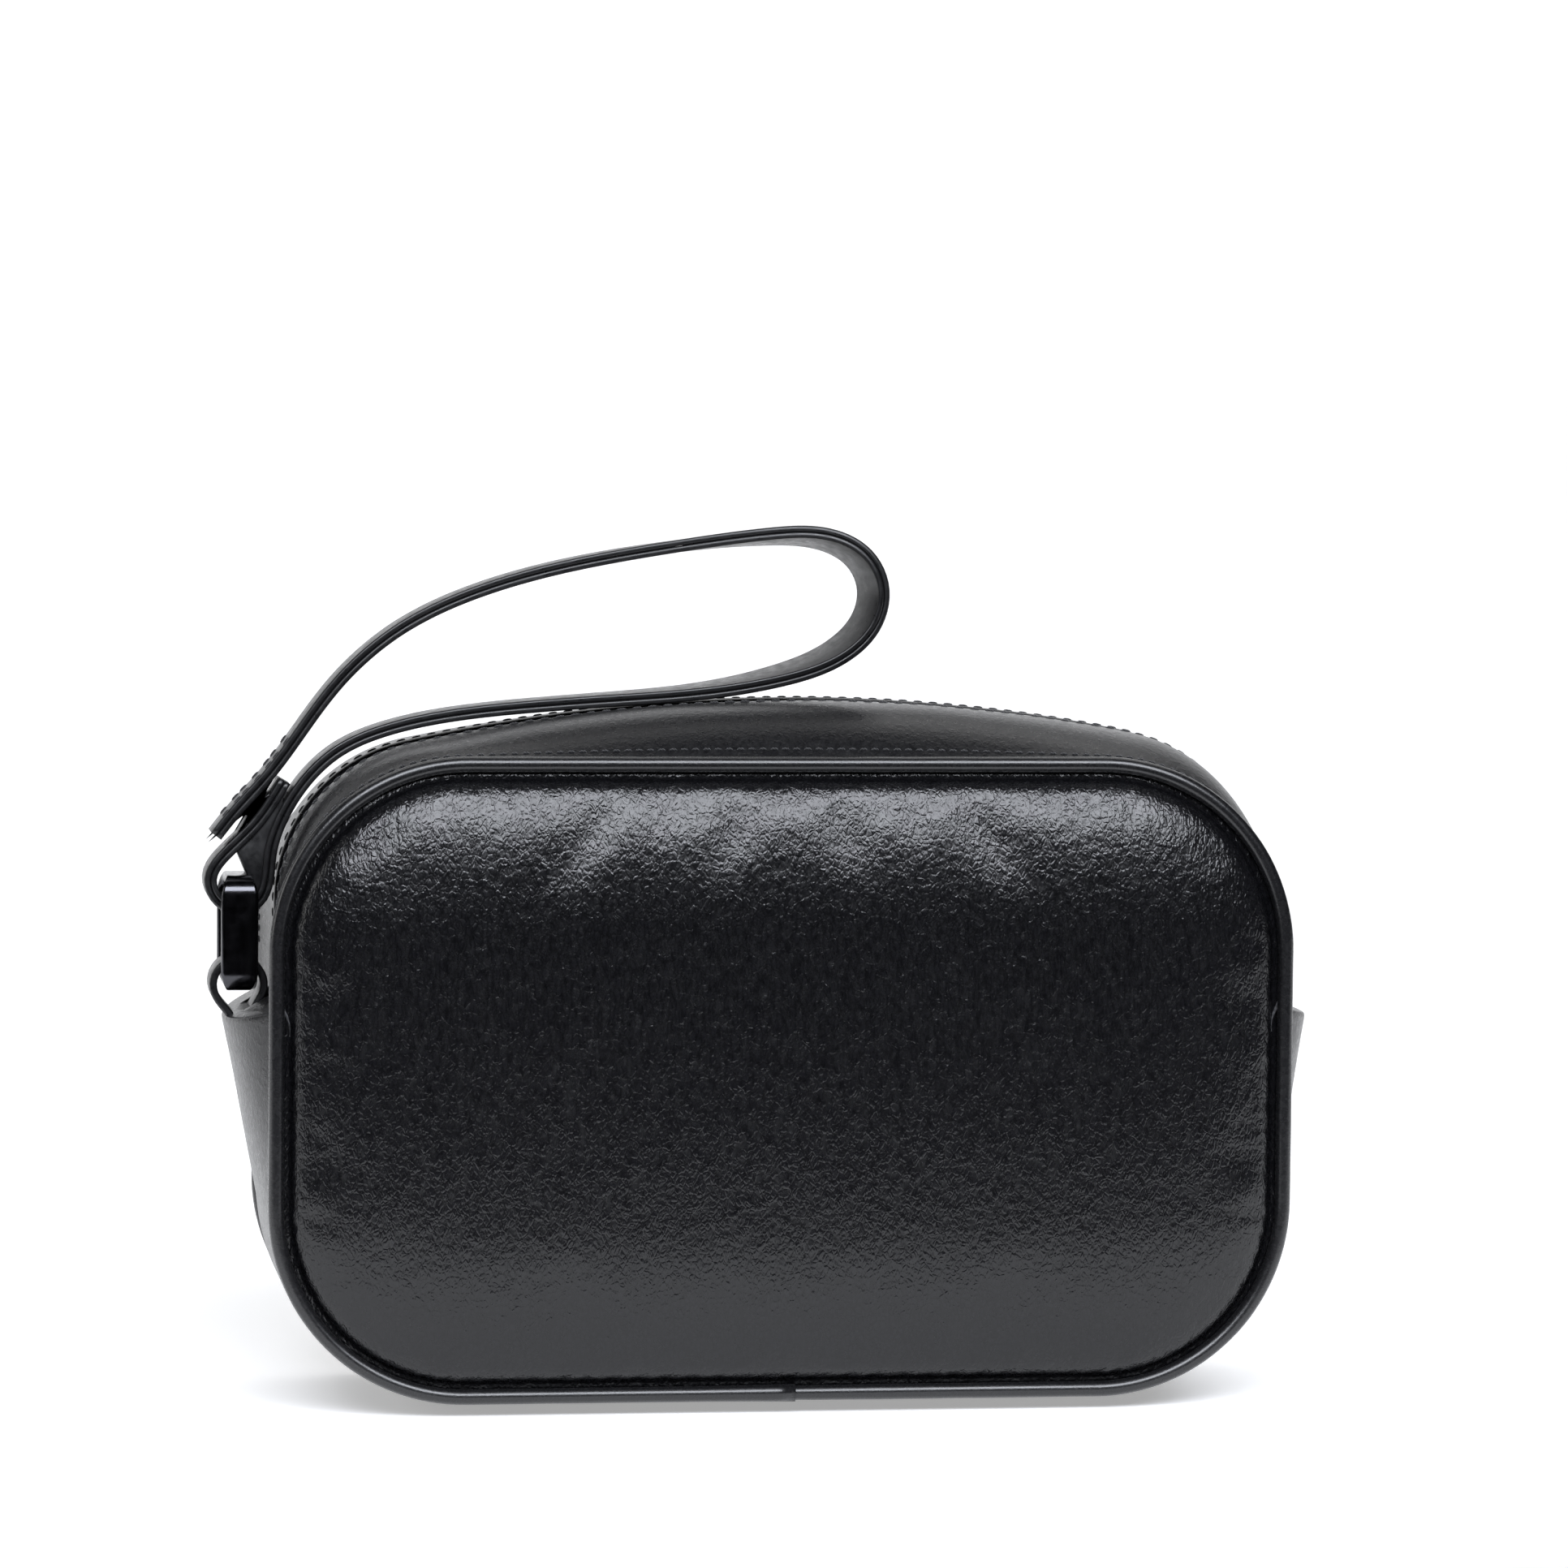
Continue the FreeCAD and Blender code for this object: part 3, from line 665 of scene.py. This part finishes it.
def make_piping(side):
    """Leather-covered cord round one seam, its ends lapped in the middle of the bottom."""
    sign = SIDES[side]
    path = seam_loop(0.0, line_x=34, line_z=22, corner=34)
    path = np.vstack([path, path[:1]])
    ahead = np.roll(path[:-1], -1, axis=0) - np.roll(path[:-1], 1, axis=0)
    ahead = np.vstack([ahead, ahead[:1]])
    ahead /= np.linalg.norm(ahead, axis=1)[:, None]
    away = np.column_stack([ahead[:, 1], -ahead[:, 0]])
    reach = arc_length(path)
    rows = []
    for (x, z), (nx, nz), s in zip(path, away, reach):
        from_start, from_end = s, reach[-1] - s
        r = PIPING_R + 0.22 * math.exp(-from_end / 9.0) - 0.18 * math.exp(-from_start / 6.0)
        r += 0.05 * noise.noise(Vector((s / 8.0, sign, 0)))
        row = []
        for a in np.arange(PIPING_SIDES) * 2 * math.pi / PIPING_SIDES:
            out = r * math.cos(a)
            row.append((x + nx * out, sign * (SEAM_Y + r * math.sin(a)), z + nz * out))
        rows.append(row)
    rows = np.array(rows)
    rows[0, :, 0] += LAP_START
    rows[-1, :, 0] += LAP_END
    bm = grid(rows, wrap_cols=True)
    close_holes(bm)
    piece = finish_mesh(bm, side + "_piping_cord", [piping_leather])
    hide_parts(side + "_piping", side + "_piping_top")
    open_with(piece)


# ---- gussets ----
# section of half the zip gusset, as (depth y, inset): outside from seam to zip, then inside back
STRIP_OUTER = [(29.8, 0.9), (28.9, 0.25), (27.6, 0.0), (26.0, 0.0), (24.0, 0.0), (21.5, 0.0),
               (18.5, 0.0), (15.5, 0.0), (12.5, 0.0), (9.5, 0.0), (7.4, 0.0), (6.0, 0.0),
               (5.3, 0.12), (4.95, 0.45)]
STRIP_INNER = [(4.9, 0.95), (5.1, 1.35), (6.0, 1.6), (9.0, 1.8), (14.0, 1.9), (20.0, 2.0),
               (26.0, 2.0), (29.2, 2.1)]
TUCK_LOW = 76.5  # where the zip gusset ends, behind the bottom gusset
TUCK_HIGH = 85.5  # where it starts to lead outwards
TUCK_RUN = 6.5  # height over which it does so
TUCK_GAP = 0.5
# section of the leather over the zip's closed end, as (depth y, inset)
ZIP_END = [(-7.5, 2.4), (-6.5, 1.6), (-4.0, 1.2), (0.0, 1.1), (4.0, 1.2), (6.5, 1.6), (7.5, 2.4)]
ZIP_END_ROWS = 7
# depths of the bottom gusset's outside, and of its inside back again
BOTTOM_OUTER = [-29.8, -28.9, -27.4, -25.5, -23.0, -20.0, -16.0, -10.0, -3.5,
                3.5, 10.0, 16.0, 20.0, 23.0, 25.5, 27.4, 28.9, 29.8]
BOTTOM_INNER = [28.6, 24.0, 17.0, 6.0, -6.0, -17.0, -24.0, -28.6]


def tuck(points, y, inset):
    """Lead the zip gusset's lower ends outwards, in behind the top edge of the bottom gusset."""
    bulge = base_bulge(y)
    foot = SEAM_HALF + HIDE + (FLARE_FOOT - SEAM_HALF - HIDE) * bulge
    target = foot + FLARE * bulge * GUSSET_END - GUSSET_THICK - TUCK_GAP - inset
    share = smooth((TUCK_HIGH - points[:, 1]) / TUCK_RUN)
    x = points[:, 0]
    half = np.abs(x).max()
    points[:, 0] = x + np.sign(x) * (target - half) * share
    return points


def make_strip(side):
    """Leather between one seam and the zip, with its turned edge beside the teeth."""
    sign = SIDES[side]
    columns = []
    for y, inset in STRIP_OUTER + STRIP_INNER:
        line = tuck(crown_line(crown_bulge(y), inset, TUCK_LOW), y, inset)
        # the two halves part a little below the zip's end
        spread = 1.7 * smooth((88.0 - line[:, 1]) / 6.0) * max(0.0, (12.0 - y) / 7.0)
        columns.append(np.column_stack([line[:, 0], sign * (y + spread), line[:, 1]]))
    points = np.array(columns).transpose(1, 0, 2)
    ripple = wobble(points.reshape(-1, 3), 16.0, 21.0 + sign).reshape(points.shape[:2])
    slack = np.array([0.0] * 3 + [1.0] * 8 + [0.4] * 3 + [0.0] * len(STRIP_INNER))
    points[:, :, 2] += 0.14 * ripple * slack
    band = [0] * len(STRIP_OUTER) + [1] * len(STRIP_INNER)
    bm = grid(points, wrap_cols=True, band=band)
    close_holes(bm)
    piece = finish_mesh(bm, side + "_zip_gusset", [gusset_leather, lining_twill])
    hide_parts(side + "_lip", side + "_strip_left", side + "_strip_right")
    open_with(piece)
    subdivide(piece)


def make_zip_end():
    """Leather over the zip's closed end, led in behind the bottom gusset."""
    columns = []
    for y, inset in ZIP_END:
        line = tuck(crown_line(crown_bulge(y), inset, TUCK_LOW), y, inset)[-ZIP_END_ROWS:]
        columns.append(profile(line, y))
    piece = finish_mesh(grid(np.array(columns).transpose(1, 0, 2)), "zip_end_leather", [gusset_leather])
    solidify(piece, 1.0)
    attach(piece, "bag")


def make_bottom():
    """Bottom gusset, one piece of leather round the bag with turned top edges."""
    turned = {29.8: 0.9, 28.9: 0.25}
    stations = [(y, turned.get(abs(y), 0.0)) for y in BOTTOM_OUTER]
    stations += [(y, GUSSET_THICK) for y in BOTTOM_INNER]
    columns = []
    for y, inset in stations:
        line = base_line(base_bulge(y), inset, gusset_end(y) - 0.5)
        columns.append(profile(line, y))
    points = np.array(columns).transpose(1, 0, 2)
    ripple = wobble(points.reshape(-1, 3), 18.0, 31.0).reshape(points.shape[:2])
    grounded = smooth(points[:, :, 2] / 20.0)
    slack = np.array([0.0] * 3 + [1.0] * 12 + [0.0] * 3 + [0.0] * len(BOTTOM_INNER))
    points[:, :, 0] += np.sign(points[:, :, 0]) * 0.2 * ripple * slack * grounded
    middle = points.copy()
    for j, (y, _) in enumerate(stations):
        line = base_line(base_bulge(y), GUSSET_THICK / 2, gusset_end(y) + 0.1)
        middle[:, j, 0] = line[:, 0]
        middle[:, j, 2] = line[:, 1]
    first, last = middle[0], middle[-1]
    near_first = points[0] * 0.55 + first * 0.45
    near_last = points[-1] * 0.55 + last * 0.45
    points = np.concatenate([[first, near_first], points, [near_last, last]])
    band = [0] * len(BOTTOM_OUTER) + [1] * len(BOTTOM_INNER)
    bm = grid(points, wrap_cols=True, band=band)
    close_holes(bm)
    piece = finish_mesh(bm, "bottom_gusset_leather", [gusset_leather, lining_twill])
    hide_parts("bottom_gusset")
    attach(piece, "bag")
    subdivide(piece)


# ---- stitches ----
THREAD_SIDES = 8
GUSSET_ROWS = ((7.2, 3.2, 2.3), (26.7, 2.3, 1.7))  # depth y, pitch and stitch length of each row
GUSSET_THREAD = 0.46  # thickness of the threads
STRAP_THREAD = 0.5
STITCH_LIFT = 0.04
STITCH_LOW = 90.0  # where the gusset's stitches end, above the bottom gusset
STITCH_CENTRE = 70.0  # height of the point that they face away from


def bead(length, thick):
    """One stitch lying along X: a short thread with sunk ends."""
    rows = []
    for k in range(7):
        t = -1 + 2 * k / 6
        r = thick / 2 * math.sqrt(max(0.0, 1 - abs(t) ** 3)) + 0.01
        dip = -0.45 * thick * abs(t) ** 4
        rows.append([(t * length / 2, r * math.cos(a), dip + r * math.sin(a))
                     for a in np.linspace(0, 2 * math.pi, THREAD_SIDES, endpoint=False)])
    return np.array(rows)


def stitch_row(bm, places, length, thick):
    """Add stitches to a bmesh; places are (origin, along, outward) in millimetres."""
    shape = bead(length, thick)
    for origin, along, up in places:
        along = np.asarray(along, float) / np.linalg.norm(along)
        up = np.asarray(up, float) - along * np.dot(up, along)
        up /= np.linalg.norm(up)
        across = np.cross(up, along)
        world = np.asarray(origin) + shape[..., :1] * along
        world = world + shape[..., 1:2] * across + shape[..., 2:] * up
        verts = [[bm.verts.new(Vector(p) * MM) for p in row] for row in world]
        for near, far in zip(verts, verts[1:]):
            for j in range(THREAD_SIDES):
                k = (j + 1) % THREAD_SIDES
                bm.faces.new((near[j], far[j], far[k], near[k]))
        bm.faces.new(verts[0][::-1])
        bm.faces.new(verts[-1])


def along_line(line, y, pitch, lift, centre):
    """Stitch places every pitch along an (x, z) line, standing out from a centre point."""
    s = arc_length(line)
    places = []
    for distance in np.arange(pitch, s[-1] - pitch, pitch):
        x, z = point_at(line, s, distance)
        x2, z2 = point_at(line, s, distance + 0.5)
        along = np.array([x2 - x, 0, z2 - z])
        up = np.array([-along[2], 0, along[0]])
        if np.dot(up, np.array([x, 0, z]) - centre) < 0:
            up = -up
        up /= np.linalg.norm(up)
        places.append((np.array([x, y, z]) + up * lift, along, up))
    return places


def make_gusset_stitches(side):
    """Stitches along both edges of the zip gusset: beside the zip and beside the piping."""
    sign = SIDES[side]
    bm = bmesh.new()
    for y, pitch, length in GUSSET_ROWS:
        line = crown_line(crown_bulge(y), 0.0, STITCH_LOW)
        centre = np.array([0, sign * y, STITCH_CENTRE])
        stitch_row(bm, along_line(line, sign * y, pitch, STITCH_LIFT, centre), length, GUSSET_THREAD)
    piece = finish_mesh(bm, side + "_zip_stitches", [thread])
    open_with(piece)


# ---- zip ----
# section of a tape as (depth y, inset): above, then below back to the teeth
TAPE_UPPER = [(0.35, TAPE_DEPTH), (1.6, TAPE_DEPTH), (3.6, TAPE_DEPTH), (5.2, 4.2), (6.6, 2.9),
              (8.5, 2.4), (10.5, 2.4)]
TAPE_LOWER = [(10.5, 3.0), (8.5, 3.0), (6.8, 3.5), (5.5, 4.8), (3.7, 5.8), (1.6, 5.8), (0.35, 5.8)]
TOOTH_RISE = 1.05  # from the tape up to the middle of a tooth
TEETH_SHORT = 5.0  # from the bottom gusset's edge up to the teeth's line
# half the width of a tooth at each depth y, from its head to its foot
TOOTH_WIDTHS = [(-0.8, 0.45), (-0.6, 0.58), (0.3, 0.62), (0.9, 0.42), (1.6, 0.45), (3.4, 0.5)]
TOOTH_SECTION = [(1, 0.55), (0.6, 1), (-0.6, 1), (-1, 0.55),
                 (-1, -0.55), (-0.6, -1), (0.6, -1), (1, -0.55)]


def make_tape(side):
    """Woven tape from under the leather's edge down to the teeth."""
    sign = SIDES[side]
    columns = [profile(crown_line(1.0, inset, GUSSET_END + 0.5), sign * y)
               for y, inset in TAPE_UPPER + TAPE_LOWER]
    bm = grid(np.array(columns).transpose(1, 0, 2), wrap_cols=True)
    close_holes(bm)
    piece = finish_mesh(bm, side + "_zip_tape_weave", [tape_weave])
    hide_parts(side + "_zip_tape", "zip_tape_left", "zip_tape_right")
    open_with(piece)


def tooth_shape():
    """A zip tooth across Y with a rounded head, as vertices and faces."""
    bm = bmesh.new()
    loops = []
    for y, half in TOOTH_WIDTHS:
        tall = 0.95 if y < 3 else 0.8      # the foot is a little lower
        loops.append([bm.verts.new((x * half, y, z * tall)) for x, z in TOOTH_SECTION])
    for a, b in zip(loops, loops[1:]):
        for j in range(len(TOOTH_SECTION)):
            k = (j + 1) % len(TOOTH_SECTION)
            bm.faces.new((a[j], b[j], b[k], a[k]))
    bm.faces.new(loops[0])
    bm.faces.new(loops[-1][::-1])
    bm.verts.index_update()
    verts = np.array([v.co for v in bm.verts])
    faces = [[v.index for v in f.verts] for f in bm.faces]
    bm.free()
    return verts, faces


def make_teeth(side):
    """One row of moulded teeth along the zip."""
    sign = SIDES[side]
    shape, faces = tooth_shape()
    line = crown_line(1.0, TAPE_DEPTH - TOOTH_RISE, GUSSET_END + TEETH_SHORT)
    s = arc_length(line)
    middle = s[-1] / 2
    shift = 0.0 if sign < 0 else TOOTH_PITCH / 2
    count = int(middle / TOOTH_PITCH) - 1
    verts = []
    polys = []
    for i in range(-count, count):
        at = middle + i * TOOTH_PITCH + shift
        x, z = point_at(line, s, at)
        x2, z2 = point_at(line, s, at + 0.5)
        run = math.hypot(x2 - x, z2 - z)
        cos, sin = (x2 - x) / run, (z2 - z) / run
        base = len(verts)
        for vx, vy, vz in shape:
            verts.append(((x + vx * cos - vz * sin) * MM, sign * vy * MM, (z + vx * sin + vz * cos) * MM))
        polys += [[base + k for k in face] for face in faces]
    mesh = bpy.data.meshes.new(side + "_tooth_row")
    mesh.from_pydata(verts, [], polys)
    bm = bmesh.new()
    bm.from_mesh(mesh)
    piece = finish_mesh(bm, side + "_tooth_row", [tooth_plastic])
    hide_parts(side + "_teeth", "zip_teeth_left", "zip_teeth_right")
    open_with(piece)


# ---- strap, ring and tab ----
GAP_SHADE_HALF = 4.7  # half the width of the dark pieces of painted shade in the gaps of the strap's stack
GAP_SHADE_INSET = 0.9  # from a run's centre line to the face of such a dark piece, inside the leather
LAYER = 1.3  # thickness of one of the strap's two layers
GLUE = 0.02  # half the gap between them
STACK_Y = 4.2  # depth of the stack's two rows of stitches
STACK_PITCH = 3.2
STACK_STITCH = 2.4
STACK_LIFT = 1.36  # from the strap's centre line to the thread
RING_TAPER = 0.32  # how much narrower the ring's band is over its top and bottom
TAB_HALF = 0.78  # half the tab's thickness
TAB_R = 5.2  # radius of the tab's fold


def band_piece(name, line, tangent, low, high, twist):
    """A flat strap between two offsets from its centre line in the plane y = 0."""
    section = rounded_section(STRAP_HALF, (high - low) / 2, min(0.45, (high - low) / 2.6))
    section[:, 1] += (high + low) / 2
    normal = np.column_stack([-tangent[:, 1], tangent[:, 0]])
    rows = []
    for i, ((x, z), (nx, nz)) in enumerate(zip(line, normal)):
        c, s = math.cos(twist[i]), math.sin(twist[i])
        across = section[:, 0] * c - section[:, 1] * s
        through = section[:, 0] * s + section[:, 1] * c
        rows.append(np.column_stack([x + nx * through, across, z + nz * through]))
    rows = np.array(rows)
    wide = np.abs(section[:, 0]) > STRAP_HALF - 0.5
    band = [1 if wide[j] and wide[(j + 1) % len(section)] else 0 for j in range(len(section))]
    bm = grid(rows, wrap_cols=True, band=band)
    close_holes(bm)
    return finish_mesh(bm, name, [strap_leather, edge_paint])


def make_gap_shade_piece(name, line, s, first_run, second_run):
    """Dark piece in the gap between two runs of the strap in its stitched stack: painted shade standing in
    for the dark inside of that gap.
    """
    rows = []
    for t in np.linspace(0, 1, 14):
        i = int(np.argmin(np.abs(s - (first_run[0] + (first_run[1] - first_run[0]) * t))))
        k = int(np.argmin(np.abs(s - (second_run[0] + (second_run[1] - second_run[0]) * t))))
        across = line[k] - line[i]
        across /= max(np.linalg.norm(across), 1e-6)
        a = line[i] + across * GAP_SHADE_INSET
        b = line[k] - across * GAP_SHADE_INSET
        rows.append([(a[0], -GAP_SHADE_HALF, a[1]), (a[0], GAP_SHADE_HALF, a[1]),
                     (b[0], GAP_SHADE_HALF, b[1]), (b[0], -GAP_SHADE_HALF, b[1])])
    bm = grid(np.array(rows), wrap_cols=True)
    close_holes(bm)
    bmesh.ops.bevel(bm, geom=[e for e in bm.edges if e.calc_face_angle(0) > 0.9], offset=0.4 * MM,
                    segments=2, affect="EDGES", profile=0.5)
    piece = finish_mesh(bm, name, [edge_paint])
    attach(piece, "strap")


def make_strap():
    """Wrist strap of two glued layers with painted edges, and the stitches of its stack."""
    line, tangent, s = spline(STRAP_LINE, 1.2)
    total = s[-1]
    tip = s[np.argmax(line[:, 0])]
    twist = math.radians(17) * np.exp(-((s - tip) / 34.0) ** 2)
    for name, low, high in (("strap_outer", -LAYER, -GLUE), ("strap_inner", GLUE, LAYER)):
        piece = band_piece(name, line, tangent, low, high, twist)
        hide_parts(name + "_layer")
        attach(piece, "strap")
    # the runs on both sides of each dark piece of painted shade, as distances along the strap
    make_gap_shade_piece("strap_gap_shade_outer", line, s, (total - 27.0, total - 1.0), (19.5, 0.6))
    make_gap_shade_piece("strap_gap_shade_inner", line, s, (0.6, 17.0), (56.0, 39.0))
    bm = bmesh.new()
    for y in (-STACK_Y, STACK_Y):
        for start, end, outer in ((2.0, 17.0, 1.0), (total - 24.0, total - 2.0, -1.0)):
            places = []
            for distance in np.arange(start, end, STACK_PITCH):
                i = int(np.argmin(np.abs(s - distance)))
                tx, tz = tangent[i]
                up = np.array([-tz, 0, tx]) * outer
                origin = np.array([line[i, 0], y, line[i, 1]]) + up * STACK_LIFT
                places.append((origin, (tx, 0, tz), up))
            stitch_row(bm, places, STACK_STITCH, STRAP_THREAD)
    piece = finish_mesh(bm, "strap_stitches", [thread])
    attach(piece, "strap")


def make_ring():
    """Flat-band ring with softened edges."""
    section = rounded_section(RING_WIDE / 2, RING_BAND / 2, 0.75, 4)
    r = RING_CORNER - RING_BAND / 2
    half_y = RING_DEEP / 2 - RING_CORNER
    half_z = RING_TALL / 2 - RING_CORNER
    rows = []
    for cy, cz, start in ((1, 1, 0), (-1, 1, 90), (-1, -1, 180), (1, -1, 270)):
        for k in range(9):
            a = math.radians(start + 90 * k / 8)
            oy, oz = math.cos(a), math.sin(a)
            y, z = cy * half_y + r * oy, RING_Z + cz * half_z + r * oz
            taper = 1 - RING_TAPER * abs((z - RING_Z) / (RING_TALL / 2 - RING_BAND / 2)) ** 6
            rows.append([(RING_X + w * taper, y + oy * h, z + oz * h) for w, h in section])
    bm = grid(np.array(rows), wrap_rows=True, wrap_cols=True)
    piece = finish_mesh(bm, "ring_band", [black_nickel])
    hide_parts("strap_ring")
    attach(piece, "ring")


def make_tab():
    """Leather tab folded round the ring's bottom bar, both ends sewn inside the gusset."""
    z = RING_Z - RING_TALL / 2 + RING_BAND / 2
    turns = np.radians([-38, -5, 30, 62, 90, 118, 150, 185, 215])
    fold = [(RING_X + TAB_R * math.cos(a), z + TAB_R * math.sin(a)) for a in turns]
    inner_end = [(-105.4, 66.0), (-106.9, 74.0), (-107.2, 79.2)]
    outer_end = [(-110.8, 78.6), (-109.2, 72.5), (-108.0, 66.5)]
    line, tangent, s = spline(inner_end + fold + outer_end, 0.9)
    piece = band_piece("ring_tab_leather", line, tangent, -TAB_HALF, TAB_HALF, np.zeros(len(s)))
    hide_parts("ring_tab")
    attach(piece, "bag")


# ---- inside ----
def make_lining(side):
    """Twill lining behind a face, a little slack."""
    sign = SIDES[side]
    near = sign * (SEAM_Y + 2.3)
    rings = [profile(seam_loop(inset), near) for inset in (PIPING_R + 5.0, 9.0, 13.0, 18.0, 24.0, 31.0)]
    last = rings[-1]
    rings += [profile(shrunk(last, k / 6), near) for k in range(1, 7)]
    rings = np.array(rings)
    flat = rings.reshape(-1, 3)
    slack = wobble(flat, 20.0, 41.0 + sign) * smooth((rim_distance(flat) - 5) / 8)
    flat[:, 1] -= sign * (0.35 + 0.35 * slack)
    bm = grid(flat.reshape(rings.shape), wrap_cols=True)
    piece = finish_mesh(bm, side + "_lining_cloth", [lining_twill], merge=CENTRE_WELD)
    solidify(piece, 0.5)
    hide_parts(side + "_lining")
    open_with(piece)


def make_gusset_lining():
    """Twill lining inside the bottom gusset."""
    inset = 5.6
    columns = []
    for y in (-28.3, -26.0, -23.0, -19.0, -12.0, -4.0, 4.0, 12.0, 19.0, 23.0, 26.0, 28.3):
        line = base_line(base_bulge(y), inset, GUSSET_END - 1.0)
        columns.append(profile(line, y))
    points = np.array(columns).transpose(1, 0, 2)
    piece = finish_mesh(grid(points), "gusset_lining_cloth", [lining_twill])
    solidify(piece, 0.6)
    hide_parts("gusset_lining")
    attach(piece, "bag")


def make_pocket():
    """Slip pocket on the rear lining, its top hem open a little."""
    low, high = 30.0, 90.0
    half = 70.0
    back, front = 31.6, 26.4
    rows = []
    for z in np.linspace(low, high, 16):
        t = (z - low) / (high - low)
        row = []
        for x in np.linspace(-half, half, 36):
            sag = (1 - (x / half) ** 4) * smooth(t * 4)
            y = back - (back - front) * sag
            row.append((x, y + 0.25 * noise.noise(Vector((x / 18, z / 18, 4.0))), z))
        rows.append(row)
    hem = [[(x, y + 0.9, z - 0.2) for x, y, z in rows[-1]], [(x, y + 1.0, z - 6.0) for x, y, z in rows[-1]]]
    piece = finish_mesh(grid(np.array(rows + hem)), "slip_pocket_cloth", [lining_twill])
    solidify(piece, 0.5)
    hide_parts("slip_pocket")
    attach(piece, "bag")


def finish_cad(names, material):
    """Give CAD nodes that stay a material and the rest positions that it reads."""
    for name in names:
        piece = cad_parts[name]
        piece.data.materials.clear()
        piece.data.materials.append(material)
        keep_rest(piece)


for side_name in SIDES:
    make_face(side_name)
    make_piping(side_name)
    make_strip(side_name)
    make_gusset_stitches(side_name)
    make_tape(side_name)
    make_teeth(side_name)
    make_lining(side_name)
make_bottom()
make_zip_end()
make_gusset_lining()
make_pocket()
make_strap()
make_ring()
make_tab()
finish_cad(["zip_slider", "pull_pin", "zip_pull", "zip_stop_left", "zip_stop_right"], black_nickel)
finish_cad(["base_board"], board_finish)


# ---- floor, backdrop and light, in metres ----
STAGE_DROP = 0.0002  # keeps the floor clear of the bag's underside


def make_stage():
    """Pale floor that ends a little in front of the bag and curves up far behind it."""
    # outline as (y, z)
    flat = [(-0.21, 0.0), (0.5, 0.0), (1.2, 0.0)]
    sweep = flat + [(1.5, 0.03), (1.75, 0.16), (1.9, 0.45), (1.95, 1.0), (1.95, 2.6)]
    bm = bmesh.new()
    rows = [[bm.verts.new((x, y, z - STAGE_DROP)) for x in (-2.2, -0.7, 0.7, 2.2)] for y, z in sweep]
    for a, b in zip(rows, rows[1:]):
        for j in range(3):
            bm.faces.new((a[j], a[j + 1], b[j + 1], b[j]))
    mesh = bpy.data.meshes.new("stage")
    bm.to_mesh(mesh)
    bm.free()
    material, _, shader = new_material("stage_white")
    shader.inputs["Base Color"].default_value = (0.93, 0.93, 0.93, 1)
    shader.inputs["Roughness"].default_value = 0.9
    shader.inputs["Specular IOR Level"].default_value = 0.1
    shader.inputs["Emission Color"].default_value = (1, 1, 1, 1)
    shader.inputs["Emission Strength"].default_value = 0.35
    floor = link("stage", mesh, [material])


def area_light(name, place, target, wide, tall, watts, colour=(1, 1, 1)):
    """Soft rectangular light looking at a point."""
    data = bpy.data.lights.new(name, "AREA")
    data.shape = "RECTANGLE"
    data.size = wide
    data.size_y = tall
    data.energy = watts
    data.color = colour
    light = bpy.data.objects.new(name, data)
    bpy.context.scene.collection.objects.link(light)
    light.location = place
    light.rotation_euler = (Vector(target) - Vector(place)).to_track_quat("-Z", "Y").to_euler()


make_stage()
area_light("key_top_front", (0.05, -1.0, 0.87), (0, 0, 0.09), 1.5, 0.56, 29, (0.90, 0.93, 1.0))
area_light("top", (0.0, 0.45, 1.5), (0, 0.5, 0), 1.8, 0.7, 4)
area_light("backdrop_light", (0.0, 0.9, 1.7), (0, 1.8, 0.5), 2.6, 0.5, 9)
area_light("left_side", (-1.3, 0.1, 0.5), (0, 0, 0.08), 0.5, 0.8, 3)
world = bpy.data.worlds.new("world")
world.use_nodes = True
sky = world.node_tree
dim = sky.nodes["Background"]
dim.inputs["Color"].default_value = (0.012, 0.012, 0.014, 1)
plain_white = node(sky, "ShaderNodeBackground")
plain_white.inputs["Color"].default_value = (1, 1, 1, 1)
shown = node(sky, "ShaderNodeMixShader")
sky.links.new(node(sky, "ShaderNodeLightPath").outputs["Is Camera Ray"], shown.inputs["Fac"])
sky.links.new(dim.outputs["Background"], shown.inputs[1])
sky.links.new(plain_white.outputs["Background"], shown.inputs[2])
sky.links.new(shown.outputs["Shader"], sky.nodes["World Output"].inputs["Surface"])
bpy.context.scene.world = world
bpy.context.scene.view_settings.view_transform = "Standard"
